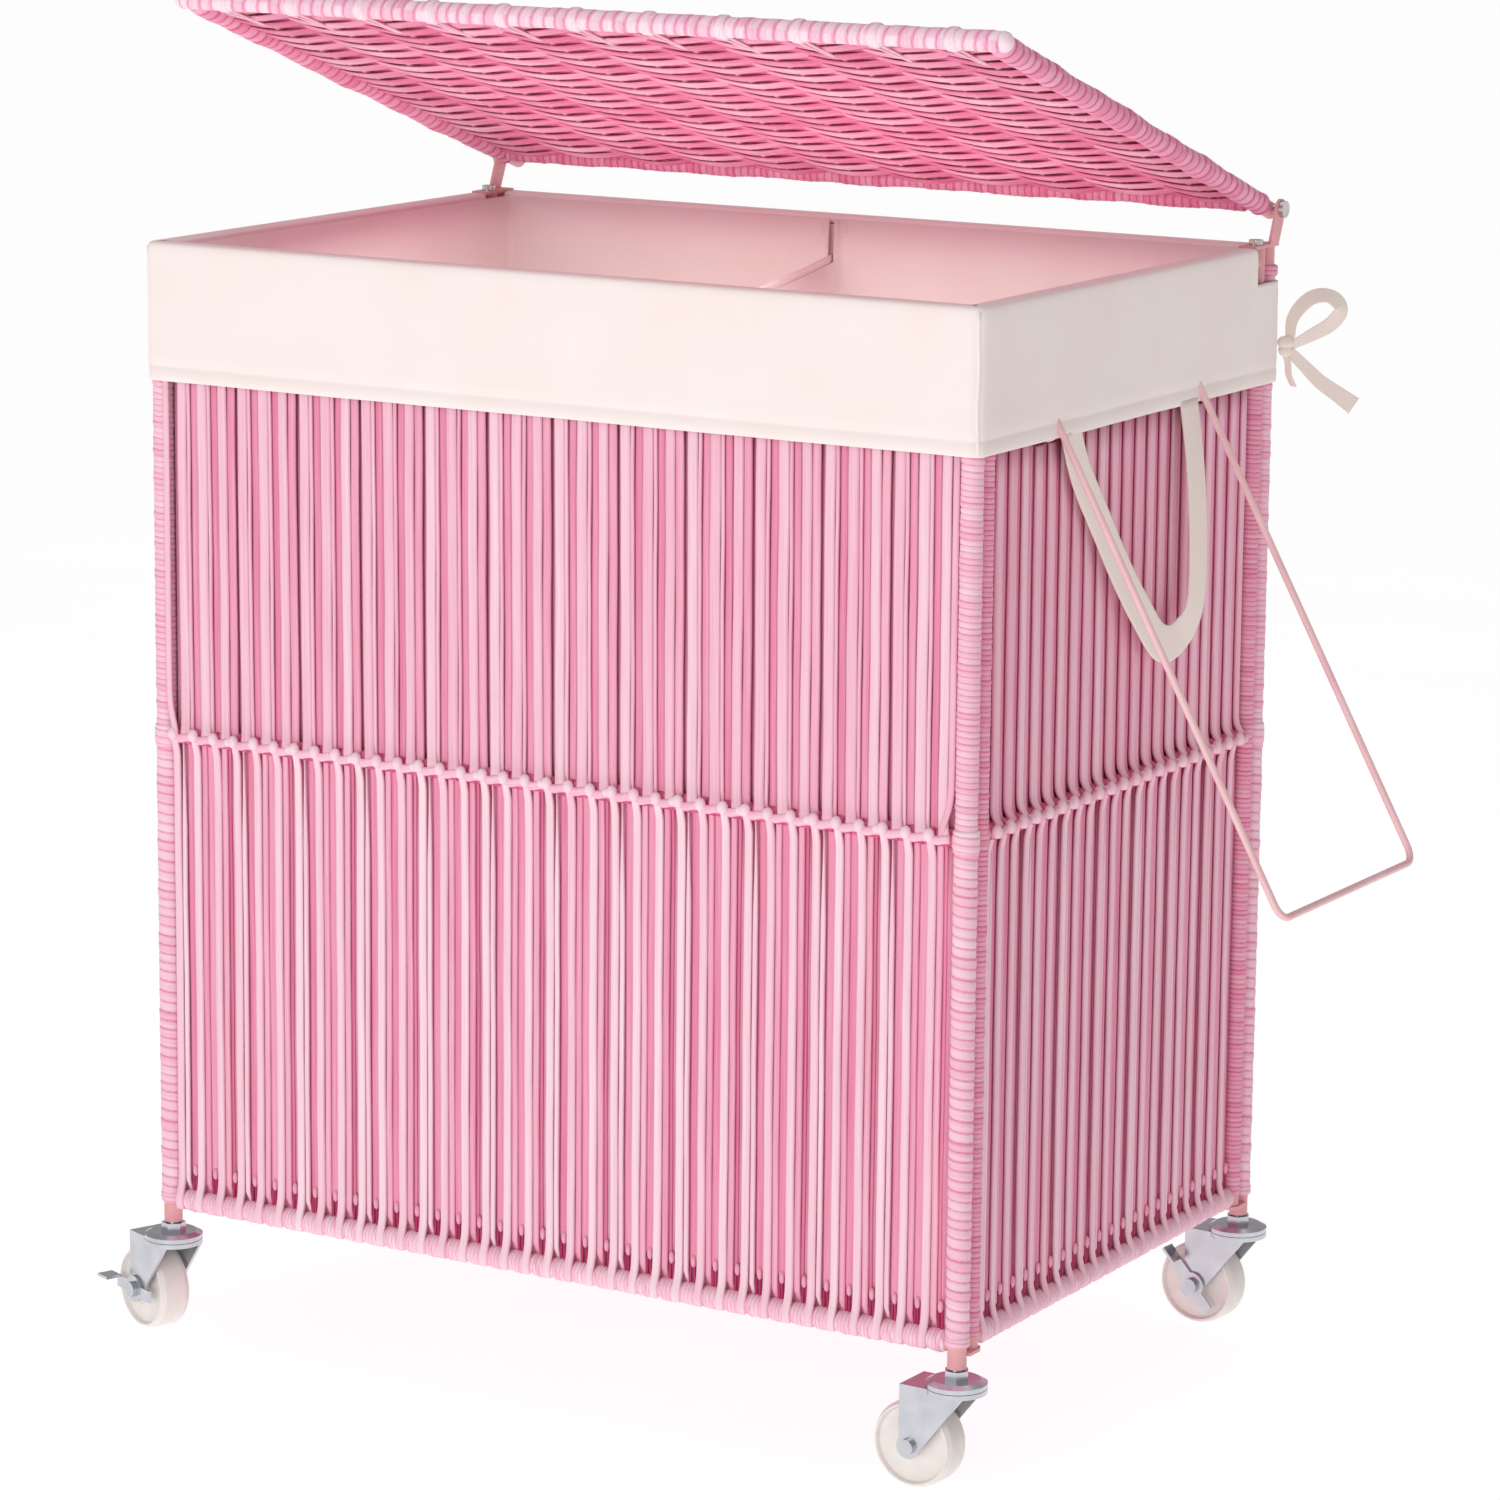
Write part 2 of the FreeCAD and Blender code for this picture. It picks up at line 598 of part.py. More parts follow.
def hinges():
    """Painted strap bracket over the back leg and the side post, with its two screws, each side."""
    pins = []
    screws = []
    plugs = []
    for side, sign in SIDES.items():
        x = sign * LEG_X
        inner, outer = sorted((x - sign * PLATE_HALF_W, sign * (UPRIGHT_X + PLATE_T)))
        foot = slab(inner, outer, PLATE_FRONT, UPRIGHT_FOOT[1], BACK_TOP, BACK_TOP + PLATE_T)
        base_z = BACK_TOP + PLATE_T
        head = PIVOT_HEAD_R + BRACKET_RIM
        face_x = sign * UPRIGHT_X
        outline = [
            V(face_x, UPRIGHT_FOOT[0], base_z),
            V(face_x, UPRIGHT_FOOT[1], base_z),
            V(face_x, HINGE_Y + head, HINGE_Z),
            V(face_x, HINGE_Y - head, HINGE_Z),
        ]
        upright = prism(outline, X_AXIS * (sign * PLATE_T))
        pivot = V(face_x, HINGE_Y, HINGE_Z)
        through = X_AXIS * (sign * PLATE_T)
        upright = upright.fuse(rod(pivot, pivot + through, head))
        bracket = foot.fuse(upright).removeSplitter()
        bracket = bracket.cut(rod(pivot - through, pivot + through * 2, PIVOT_R))
        screw_at = V(x, POST_Y, BACK_TOP)
        bracket = bracket.cut(rod(screw_at, screw_at + Z_AXIS * PLATE_T, SCREW_R))
        save(f"hinge_bracket_{side}", bracket)

        outside = pivot + through
        tip = V(sign * (LID_X - RAIL_R - PIVOT_REACH), HINGE_Y, HINGE_Z)
        shank = rod(tip, outside, PIVOT_R)
        pins.append(shank.fuse(rod(outside, outside + X_AXIS * (sign * PIVOT_HEAD_T), PIVOT_HEAD_R)))

        seat = screw_at + Z_AXIS * PLATE_T
        screw = rod(seat, seat + Z_AXIS * SCREW_HEAD_T, SCREW_HEAD_R)
        screws.append(screw.fuse(rod(seat, seat - Z_AXIS * SCREW_LENGTH, SCREW_R)))
        plugs.append(pipe(screw_at, screw_at - Z_AXIS * PLUG_LENGTH, TUBE_R - TUBE_WALL, SCREW_R))
    save("hinge_pivots", *pins)
    save("bracket_screws", *screws)
    save("post_plugs", *plugs)


# ---- castors ---------------------------------------------------------------------------------------
# Each castor is built with its stem on the z axis and its wheel behind it along +x, then turned.

def hexagon(radius, height, z):
    corners = [V(radius * math.cos(math.radians(60 * i)), radius * math.sin(math.radians(60 * i)), z)
               for i in range(6)]
    return prism(corners, Z_AXIS * height)


def castor_stem():
    """Threaded stem with its nut, the fixed top race and the rivet head that carries the fork."""
    rivet_top = FORK_TOP - FORK_PLATE - RIVET_GAP
    foot = V(0, 0, rivet_top - RIVET_T)
    stem = rod(foot, V(0, 0, LEG_BOTTOM + STEM_LENGTH), STEM_R)
    race = Part.makeCone(RACE_R, RACE_R - 2 * RACE_BEVEL, RACE_BEVEL, V(0, 0, RACE_TOP - RACE_BEVEL))
    race = race.fuse(rod(V(0, 0, RACE_BOTTOM), V(0, 0, RACE_TOP - RACE_BEVEL), RACE_R))
    rivet = rod(foot, V(0, 0, rivet_top), RIVET_R)
    nut = hexagon(NUT_R, LEG_BOTTOM - RACE_TOP - NUT_GAP, RACE_TOP)
    return stem.fuse([race, rivet, nut]).removeSplitter()


def castor_fork():
    """Pressed fork: round plate under the race, running out to two cheeks beside the wheel."""
    top = FORK_TOP
    low = FORK_TOP - FORK_PLATE
    half = FORK_HALF_W + FORK_T
    tail = TRAIL + FORK_TAIL
    plate = rod(V(0, 0, low), V(0, 0, top), RACE_R)
    lead = math.sqrt(RACE_R ** 2 - half ** 2)
    plate = plate.fuse(slab(lead, tail, -half, half, low, top))
    nose = -lead
    cheek = [
        V(nose, 0, low),
        V(tail, 0, low),
        V(tail, 0, WHEEL_R),
        V(TRAIL - FORK_LEAD, 0, WHEEL_R - FORK_DROP),
    ]
    shape = plate
    for side in (-half, FORK_HALF_W):
        outline = [point + Y_AXIS * side for point in cheek]
        wall = prism(outline, Y_AXIS * FORK_T)
        boss_at = V(TRAIL, side, WHEEL_R)
        wall = wall.fuse(rod(boss_at, boss_at + Y_AXIS * FORK_T, BOSS_R))
        shape = shape.fuse(wall)
    shape = shape.cut(rod(V(0, 0, low), V(0, 0, top), STEM_R + FORK_FIT))
    axle_line = rod(V(TRAIL, -2 * half, WHEEL_R), V(TRAIL, 2 * half, WHEEL_R), AXLE_R)
    return shape.cut(axle_line).removeSplitter()


def lever_side():
    """Outer face of the cheek that carries the axle's nut and the brake lever."""
    return FORK_HALF_W + FORK_T


def castor_axle(braked):
    """Axle bolt with a round head, and a longer reach through the lever where there is a brake."""
    near = lever_side() + (LEVER_T + 2 * AXLE_FIT if braked else 0.0)
    far = -lever_side()
    shank = rod(V(TRAIL, far, WHEEL_R), V(TRAIL, near, WHEEL_R), AXLE_R)
    near_head = rod(V(TRAIL, near, WHEEL_R), V(TRAIL, near + AXLE_HEAD_T, WHEEL_R), AXLE_HEAD_R)
    far_head = rod(V(TRAIL, far - AXLE_HEAD_T, WHEEL_R), V(TRAIL, far, WHEEL_R), AXLE_HEAD_R)
    return shank.fuse([near_head, far_head]).removeSplitter()


def castor_wheel():
    """Nylon wheel with a bevelled tread, dished faces and a hub."""
    rim = WHEEL_R - RIM_W
    half = WHEEL_HALF_W
    profile = [
        V(AXLE_R + AXLE_FIT, -HUB_HALF_W, 0),
        V(HUB_R, -HUB_HALF_W, 0),
        V(HUB_R, -half + RECESS, 0),
        V(rim, -half + RECESS, 0),
        V(rim + RIM_BEVEL, -half, 0),
        V(WHEEL_R - TREAD_DROP, -half, 0),
        V(WHEEL_R, -half + TREAD_EDGE, 0),
    ]
    mirror = [V(point.x, -point.y, 0) for point in reversed(profile)]
    outline = profile + mirror
    wheel = Part.Face(Part.makePolygon(outline + outline[:1])).revolve(V(0, 0, 0), Y_AXIS, 360)
    wheel.translate(V(TRAIL, 0, WHEEL_R))
    return wheel


def brake_lever(angle):
    """Side lever on the axle: a round eye, a heel, an arm to the rear and a tab turned outwards."""
    inner = lever_side() + AXLE_FIT
    outer = inner + LEVER_T
    eye_at = V(TRAIL, inner, WHEEL_R)
    eye = rod(eye_at, eye_at + Y_AXIS * LEVER_T, LEVER_R)
    arm = slab(TRAIL, TRAIL + LEVER_ARM, inner, outer, WHEEL_R - LEVER_BELOW, WHEEL_R + LEVER_ABOVE)
    tab_z = WHEEL_R + LEVER_ABOVE - LEVER_T
    tab = slab(TRAIL + LEVER_ARM - LEVER_T, TRAIL + LEVER_ARM + LEVER_TAB,
               inner, inner + LEVER_TAB_W, tab_z, tab_z + LEVER_T)
    bore = rod(eye_at, eye_at + Y_AXIS * LEVER_T, AXLE_R + AXLE_FIT)
    heel = slab(TRAIL - LEVER_HEEL, TRAIL, inner, outer, WHEEL_R - LEVER_ABOVE, WHEEL_R + LEVER_BELOW)
    lever = eye.fuse([arm, tab, heel]).cut(bore).removeSplitter()
    lever.rotate(V(TRAIL, 0, WHEEL_R), Y_AXIS, -angle)
    return lever


def castors():
    for place, x_sign, y_sign, heading, brake_angle in CASTORS:
        pieces = {
            "stem": castor_stem(),
            "fork": castor_fork(),
            "axle": castor_axle(brake_angle is not None),
            "wheel": castor_wheel(),
        }
        if brake_angle is not None:
            pieces["brake_lever"] = brake_lever(brake_angle)
        for piece, shape in pieces.items():
            shape.rotate(V(0, 0, 0), Z_AXIS, heading)
            shape.translate(V(x_sign * LEG_X, y_sign * LEG_Y, 0))
            save(f"castor_{place}_{piece}", shape)


legs()
leg_plugs()
cross_rails()
side_frames()
link_plates()
wraps()
woven_panels()
base()
liner()
cuff()
strap()
tie_bow()
bail()
lid()
hinges()
castors()
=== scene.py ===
"""Looks of the woven laundry sorter: strands, wraps, cloth, materials, light and camera.
Metres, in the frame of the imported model: +X the user's right, -Y the front, +Z up."""

import json
import math
import bpy
import numpy as np
from mathutils import Matrix, Vector


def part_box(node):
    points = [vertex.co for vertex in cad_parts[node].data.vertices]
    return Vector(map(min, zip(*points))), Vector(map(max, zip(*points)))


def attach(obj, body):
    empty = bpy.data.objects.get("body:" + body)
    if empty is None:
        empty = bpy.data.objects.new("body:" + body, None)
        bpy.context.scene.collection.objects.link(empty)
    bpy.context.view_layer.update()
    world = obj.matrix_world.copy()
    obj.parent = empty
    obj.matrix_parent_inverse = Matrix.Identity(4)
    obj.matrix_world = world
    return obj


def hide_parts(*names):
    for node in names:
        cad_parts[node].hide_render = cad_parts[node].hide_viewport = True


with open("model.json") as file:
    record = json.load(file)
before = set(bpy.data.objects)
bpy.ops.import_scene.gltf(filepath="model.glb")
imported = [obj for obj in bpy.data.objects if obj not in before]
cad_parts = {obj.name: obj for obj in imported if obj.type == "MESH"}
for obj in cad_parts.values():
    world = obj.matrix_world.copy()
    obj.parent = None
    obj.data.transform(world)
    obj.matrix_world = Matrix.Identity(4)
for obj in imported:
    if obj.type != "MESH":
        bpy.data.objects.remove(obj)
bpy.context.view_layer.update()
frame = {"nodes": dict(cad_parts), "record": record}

MM = 0.001
UP = np.array([0.0, 0.0, 1.0])
SIGNS = (-1, 1)

# Frame lines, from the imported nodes
LEG_LOW, LEG_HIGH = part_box("leg_front_right")
TUBE_R = (LEG_HIGH[0] - LEG_LOW[0]) / 2
LEG_X = (LEG_LOW[0] + LEG_HIGH[0]) / 2
LEG_Y = -(LEG_LOW[1] + LEG_HIGH[1]) / 2
RAIL_LOW, RAIL_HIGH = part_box("front_rails")
RAIL_R = (RAIL_HIGH[1] - RAIL_LOW[1]) / 2
BOTTOM_RAIL = RAIL_LOW[2] + RAIL_R
TOP_RAIL = RAIL_HIGH[2] - RAIL_R
MID_RAIL = 404 * MM
GRIP_RAIL = 640 * MM
POST_Y = LEG_Y - 14 * MM
LEG_WOUND_R = 7.4 * MM      # outside of the strand wound round a leg
CUFF_LOW, CUFF_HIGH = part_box("liner_cuff")
CUFF_EDGE = CUFF_LOW[2]
HINGE = np.array([0.0, 205 * MM, 743 * MM])
LID_ANGLE = math.radians(19)
LID_DEPTH = 394 * MM
STAKE_COUNT = 11
STAKE_PITCH = 52 * MM
STAKE_X = [(i - STAKE_COUNT // 2) * STAKE_PITCH for i in range(STAKE_COUNT)]
LID_X = 287 * MM            # axes of the lid's side rails
LID_RAIL_R = 5.5 * MM
LID_BACK_GAP = 16 * MM      # from the hinge line to the lid's back rail
BACK_HEAD = 707 * MM        # the back legs' winding stops under the hinge brackets
BAIL_EYE_Y = (-104 * MM, 88 * MM)
NOTCH_LOW = (284 * MM, 167 * MM, 698 * MM)
NOTCH_HIGH = (320 * MM, 230 * MM, 738 * MM)
SEAM_STOP = 696 * MM        # back corner seams end below the hinge brackets


# ---- mesh helpers ----

def vec(x, y, z):
    return np.array([x, y, z], float)


def lattice(rows, columns, around):
    """Quads that join a grid of points; its columns close on themselves when around is true."""
    i, j = np.meshgrid(np.arange(rows - 1), np.arange(columns if around else columns - 1), indexing="ij")
    right = (j + 1) % columns
    low = i * columns
    high = low + columns
    return np.stack([low + j, low + right, high + right, high + j], -1).reshape(-1, 4)


# How strand wound round a tube departs from an even helix
WOUND_DRIFT = ((0.12, 67, 0), (0.1, 151, 1))    # share of a band, radians per metre, start
BAND_TABLE = np.random.default_rng(11).uniform(-1, 1, 257)
BAND_TILT = 0.3 * MM
BAND_LIFT = 0.22 * MM
BAND_TONE = 0.08
GROOVE_SHARE = 0.16         # of a band's width, at each of its edges
# darkens the grooves between bands: painted shade
GROOVE_SHADE = 0.4
WOUND_END = 1.2 * MM
WOUND_END_DEPTH = 1.0 * MM
GRAIN_STEP = 0.37           # moves the streaks on from one ribbon to the next
GRAIN_SPAN = 11


class Stock:
    """Points, faces, tone and grain gathered for one mesh."""

    def __init__(self):
        self.points = []
        self.faces = []
        self.tones = []
        self.grains = []
        self.count = 0

    def grid(self, points, tone, grain, around=True, caps=True):
        """points is rows x columns x 3; tone is one value or one per point; grain is (across, along)."""
        rows, columns = points.shape[:2]
        self.faces += (lattice(rows, columns, around) + self.count).tolist()
        if caps and around:
            first = list(range(self.count, self.count + columns))
            last = [index + (rows - 1) * columns for index in first]
            self.faces += [first[::-1], last]
        self.points.append(points.reshape(-1, 3))
        self.tones.append(np.broadcast_to(tone, (rows, columns)).reshape(-1))
        self.grains.append(grain.reshape(-1, 3))
        self.count += rows * columns

    def ribbon(self, line, across, outward, width, thick, tone, sides=8, boxy=1.0):
        """Strand swept along a line of points; boxy below 1 squares its section."""
        line = np.asarray(line, float)
        rows = len(line)
        turn = (np.arange(sides) + 0.5) / sides * 2 * math.pi
        a = np.sign(np.cos(turn)) * np.abs(np.cos(turn)) ** boxy / 2
        b = np.sign(np.sin(turn)) * np.abs(np.sin(turn)) ** boxy / 2
        width = np.broadcast_to(width, rows)[:, None, None]
        thick = np.broadcast_to(thick, rows)[:, None, None]
        across = np.broadcast_to(across, (rows, 3))[:, None, :]
        outward = np.broadcast_to(outward, (rows, 3))[:, None, :]
        flat = across * width * a[None, :, None]
        points = line[:, None, :] + flat + outward * thick * b[None, :, None]
        step = np.linalg.norm(np.diff(line, axis=0), axis=1)
        along = np.concatenate([[0.0], np.cumsum(step)])
        grain = np.zeros((rows, sides, 3))
        grain[..., 0] = a * np.mean(width)
        grain[..., 1] = along[:, None]
        grain[..., 2] = self.count * GRAIN_STEP % GRAIN_SPAN
        self.grid(points, tone, grain)

    def wound(self, start, end, radius, pitch, step, tone, columns=20, groove=0.5 * MM, swell=None):
        """Tube wound with flat strand between two points: a helix of bands with thin grooves, which are
        darkened as painted shade.
        """
        start = np.asarray(start, float)
        run = np.asarray(end, float) - start
        length = np.linalg.norm(run)
        axis = run / length
        side = np.cross(axis, UP if abs(axis[2]) < 0.9 else vec(1, 0, 0))
        side /= np.linalg.norm(side)
        front = np.cross(axis, side)
        rows = int(length / step) + 1
        t = np.linspace(0, length, rows)[:, None]
        turn = (np.arange(columns) / columns)[None, :]
        drift = sum(size * np.sin(t * rate + shift) for size, rate, shift in WOUND_DRIFT)
        phase = t / pitch + turn + drift
        band = np.floor(phase).astype(int)
        place = phase - band
        edge = np.clip(np.minimum(place, 1 - place) / GROOVE_SHARE, 0, 1)
        uneven = BAND_TABLE[band % len(BAND_TABLE)]
        tilt = (place - 0.5) * uneven * BAND_TILT
        r = radius + groove * (edge ** 0.5 - 1) + uneven * BAND_LIFT + tilt
        if swell is not None:
            r = r + swell(t, turn)
        ends = np.clip(np.minimum(t, length - t) / WOUND_END, 0, 1) ** 0.5
        r = radius - WOUND_END_DEPTH + (r - radius + WOUND_END_DEPTH) * ends
        angle = turn * 2 * math.pi
        points = (start + axis * t[..., None]
                  + r[..., None] * (side * np.cos(angle)[..., None] + front * np.sin(angle)[..., None]))
        grain = np.stack([place * pitch, angle * radius + 0 * t, uneven * 3], -1)
        # random tone per band, and painted shade in the grooves
        self.grid(points, tone + BAND_TONE * uneven + GROOVE_SHADE * (1 - edge), grain)

    def ball(self, centre, axes, tone, rings=6, columns=10):
        """Rounded lump: an ellipsoid with its three half axes given as vectors."""
        lift = (np.arange(rings) + 0.5) / rings * math.pi
        turn = np.arange(columns) / columns * 2 * math.pi
        a, b, c = (np.asarray(axis, float) for axis in axes)
        ring = np.cos(turn)[None, :, None] * a + np.sin(turn)[None, :, None] * b
        points = centre + np.sin(lift)[:, None, None] * ring - np.cos(lift)[:, None, None] * c
        self.grid(points, tone, points - centre)

    def piece(self, name, body, slot, *nodes):
        """Make the object, let it ride on its body and stand for its CAD nodes."""
        mesh = bpy.data.meshes.new(name)
        mesh.from_pydata(np.concatenate(self.points).tolist(), [], self.faces)
        tone = mesh.attributes.new("tone", "FLOAT", "POINT")
        tone.data.foreach_set("value", np.concatenate(self.tones).astype(np.float32))
        grain = mesh.attributes.new("grain", "FLOAT_VECTOR", "POINT")
        grain.data.foreach_set("vector", np.concatenate(self.grains).astype(np.float32).ravel())
        mesh.shade_smooth()
        obj = bpy.data.objects.new(name, mesh)
        bpy.context.scene.collection.objects.link(obj)
        mesh.materials.append(FINISHES[slot])
        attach(obj, body)
        if nodes:
            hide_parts(*nodes)
        return obj


# ---- materials ----

def linear(red, green, blue):
    """Screen colour, 0 to 255, as linear RGBA."""
    values = [channel / 255 for channel in (red, green, blue)]
    return [v / 12.92 if v <= 0.04045 else ((v + 0.055) / 1.055) ** 2.4 for v in values] + [1.0]


class Finish:
    """Node material being built round one principled shader."""

    def __init__(self, name, roughness, specular=0.5, metallic=0.0, sheen=0.0):
        self.material = bpy.data.materials.new(name)
        self.material.use_nodes = True
        self.nodes = self.material.node_tree.nodes
        self.links = self.material.node_tree.links
        self.shader = self.nodes["Principled BSDF"]
        self.shader.inputs["Roughness"].default_value = roughness
        self.shader.inputs["Specular IOR Level"].default_value = specular
        self.shader.inputs["Metallic"].default_value = metallic
        self.shader.inputs["Sheen Weight"].default_value = sheen

    def node(self, kind, links=(), **settings):
        made = self.nodes.new(kind)
        for key, value in settings.items():
            if hasattr(made, key):
                setattr(made, key, value)
            else:
                made.inputs[key.replace("_", " ")].default_value = value
        for socket, source in dict(links).items():
            self.links.new(source, made.inputs[socket])
        return made

    def noise(self, vector, scale, detail=3.0):
        made = self.node("ShaderNodeTexNoise", {"Vector": vector}, Scale=scale, Detail=detail)
        return made.outputs["Fac"]

    def place(self):
        return self.node("ShaderNodeTexCoord").outputs["Object"]

    def bands(self, vector, direction, scale, distortion):
        made = self.node("ShaderNodeTexWave", {"Vector": vector}, wave_type="BANDS",
                         bands_direction=direction, Scale=scale, Distortion=distortion)
        return made.outputs["Fac"]

    def ramp(self, factor, stops):
        made = self.node("ShaderNodeValToRGB", {"Fac": factor})
        while len(made.color_ramp.elements) < len(stops):
            made.color_ramp.elements.new(0.5)
        for element, (place, colour) in zip(made.color_ramp.elements, stops):
            element.position = place
            element.color = colour
        return made.outputs["Color"]

    def mix(self, mode, factor, a, b):
        made = self.node("ShaderNodeMix", data_type="RGBA", blend_type=mode)
        for name, value in (("Factor", factor), ("A", a), ("B", b)):
            socket = next(s for s in made.inputs if s.name == name and s.enabled)
            if hasattr(value, "is_output"):
                self.links.new(value, socket)
            else:
                socket.default_value = value
        return next(s for s in made.outputs if s.enabled)

    def maths(self, operation, a, b):
        made = self.node("ShaderNodeMath", operation=operation)
        for socket, value in zip(made.inputs, (a, b)):
            if hasattr(value, "is_output"):
                self.links.new(value, socket)
            else:
                socket.default_value = value
        return made.outputs[0]

    def colour(self, source):
        self.links.new(source, self.shader.inputs["Base Color"])

    def relief(self, height, strength, distance):
        bump = self.node("ShaderNodeBump", {"Height": height}, Strength=strength, Distance=distance)
        self.links.new(bump.outputs["Normal"], self.shader.inputs["Normal"])


def strand_finish(name, stops, roughness=0.55):
    """Extruded plastic cane: fine streaks along the strand, and a tone read from the mesh: a random
    spread, and painted shade that deepens the strands set further back in the weave and on the side
    faces.
    """
    finish = Finish(name, roughness, specular=0.3)
    grain = finish.node("ShaderNodeAttribute", attribute_name="grain").outputs["Vector"]
    tone = finish.node("ShaderNodeAttribute", attribute_name="tone").outputs["Fac"]
    fine = finish.node("ShaderNodeMapping", {"Vector": grain}, Scale=(1900.0, 22.0, 1.0)).outputs[0]
    soft = finish.node("ShaderNodeMapping", {"Vector": grain}, Scale=(500.0, 9.0, 3.0)).outputs[0]
    streaks = finish.noise(fine, 1.0)
    patches = finish.noise(soft, 1.0, 2.0)
    shift = finish.maths("MULTIPLY", finish.maths("SUBTRACT", patches, 0.5), 0.34)
    lines = finish.maths("MULTIPLY", finish.maths("SUBTRACT", streaks, 0.5), 0.22)
    place = finish.maths("ADD", tone, finish.maths("ADD", shift, lines))
    finish.colour(finish.ramp(place, stops))
    finish.relief(streaks, 0.35, 0.25 * MM)
    return finish.material


PINK_STOPS = [
    (0.0, linear(253, 224, 234)),
    (0.25, linear(247, 192, 211)),
    (0.5, linear(238, 150, 181)),
    (0.75, linear(220, 102, 145)),
    (1.0, linear(180, 44, 98)),
]
LID_STOPS = [
    (0.0, linear(253, 228, 238)),
    (0.25, linear(245, 176, 203)),
    (0.5, linear(230, 124, 162)),
    (0.75, linear(208, 82, 128)),
    (1.0, linear(160, 36, 86)),
]


def cloth_finish():
    """Cream polyester lining: a fine plain weave, with a slight warm mottling."""
    finish = Finish("liner_cloth", 0.85, specular=0.2, sheen=0.15)
    where = finish.place()
    across = finish.bands(where, "Z", 420.0, 1.0)
    along = finish.bands(where, "DIAGONAL", 420.0, 1.0)
    weave = finish.maths("MAXIMUM", across, along)
    mottle = finish.noise(where, 14.0, 4.0)
    base = finish.ramp(mottle, [(0.3, linear(250, 236, 231)), (0.7, linear(252, 242, 239))])
    threads = finish.ramp(weave, [(0.0, linear(225, 205, 200)), (0.6, linear(255, 255, 255))])
    finish.colour(finish.mix("MULTIPLY", 0.12, base, threads))
    finish.relief(weave, 0.15, 0.1 * MM)
    return finish.material


def webbing_finish(name, light, dark):
    """Narrow woven tape: ribs across its length."""
    finish = Finish(name, 0.8, specular=0.25, sheen=0.1)
    ribs = finish.bands(finish.place(), "Z", 330.0, 0.6)
    finish.colour(finish.ramp(ribs, [(0.0, dark), (0.7, light)]))
    finish.relief(ribs, 0.3, 0.15 * MM)
    return finish.material


def drift_finish(name, light, dark, roughness, scale, spread, detail=3.0, specular=0.5, metallic=0.0,
                 peel=False):
    """Paint, metal or plastic whose tone drifts a little; powder coat also has faint orange peel."""
    finish = Finish(name, roughness, specular=specular, metallic=metallic)
    where = finish.place()
    drift = finish.noise(where, scale, detail)
    finish.colour(finish.ramp(drift, [(0.5 - spread, dark), (0.5 + spread, light)]))
    if peel:
        finish.relief(finish.noise(where, 900.0, 2.0), 0.12, 0.1 * MM)
    else:
        finish.relief(drift, 0.03, 0.1 * MM)
    return finish.material


def paint_finish(name, light, dark, roughness=0.38):
    return drift_finish(name, light, dark, roughness, 35.0, 0.15, peel=True)


def metal_finish(name, light, dark):
    return drift_finish(name, light, dark, 0.24, 60.0, 0.3, detail=2.0, metallic=0.9)


FINISHES = {
    "panel_strand": strand_finish("panel_strand", PINK_STOPS),
    "wrap_strand": strand_finish("wrap_strand", PINK_STOPS, 0.5),
    "lid_strand": strand_finish("lid_strand", LID_STOPS),
    "liner_cloth": cloth_finish(),
    "strap_cloth": webbing_finish("strap_cloth", linear(252, 240, 232), linear(243, 226, 217)),
    "frame_paint": paint_finish("frame_paint", linear(238, 176, 178), linear(228, 158, 164)),
    "bail_paint": paint_finish("bail_paint", linear(250, 210, 212), linear(246, 198, 202)),
    "zinc": metal_finish("zinc", linear(214, 217, 222), linear(192, 194, 202)),
    "screw_steel": metal_finish("screw_steel", linear(206, 202, 202), linear(182, 176, 176)),
    "nylon": drift_finish("nylon", linear(243, 237, 232), linear(236, 228, 222), 0.45, 90.0, 0.2,
                          specular=0.45),
    "plug_plastic": paint_finish("plug_plastic", linear(70, 66, 68), linear(50, 48, 50), 0.6),
}


# ---- woven panels ----

class Face:
    """One upright side of the frame: s runs along it, n out of it, and z up."""

    def __init__(self, name, middle, across, outward, half, count):
        self.name = name
        self.middle = vec(*middle)
        self.across = vec(*across)
        self.outward = vec(*outward)
        self.half = half
        self.pitch = 2 * half / count
        self.count = count
        self.sideways = name in ("left", "right")
        # The side faces get a deeper tone and a deeper backing: painted shade of the faces turned from
        # the key light.
        self.shade = 0.05 if self.sideways else 0.0
        self.backing_shade = 0.5 if self.sideways else 0.4
        self.depth = 0.5 if self.sideways else 1.0

    def at(self, s, n, z):
        s, n, z = np.broadcast_arrays(s, n, z)
        s, n, z = (np.reshape(value, (-1, 1)) for value in (s, n, z))
        return self.middle + self.across * s + self.outward * n + UP * z

    def point(self, s, n, z):
        return self.at(s, n, z)[0]

    def left_of(self, i):
        """Left edge of a pitch."""
        return -self.half + i * self.pitch


WIDE_HALF = LEG_X - 7.5 * MM
WIDE_COUNT = 36
NARROW_HALF = POST_Y - 7.2 * MM
NARROW_COUNT = 21
FACES = [
    Face("front", (0, -LEG_Y, 0), (1, 0, 0), (0, -1, 0), WIDE_HALF, WIDE_COUNT),
    Face("right", (LEG_X, 0, 0), (0, 1, 0), (1, 0, 0), NARROW_HALF, NARROW_COUNT),
    Face("back", (0, LEG_Y, 0), (-1, 0, 0), (0, 1, 0), WIDE_HALF, WIDE_COUNT),
    Face("left", (-LEG_X, 0, 0), (0, -1, 0), (-1, 0, 0), NARROW_HALF, NARROW_COUNT),
]
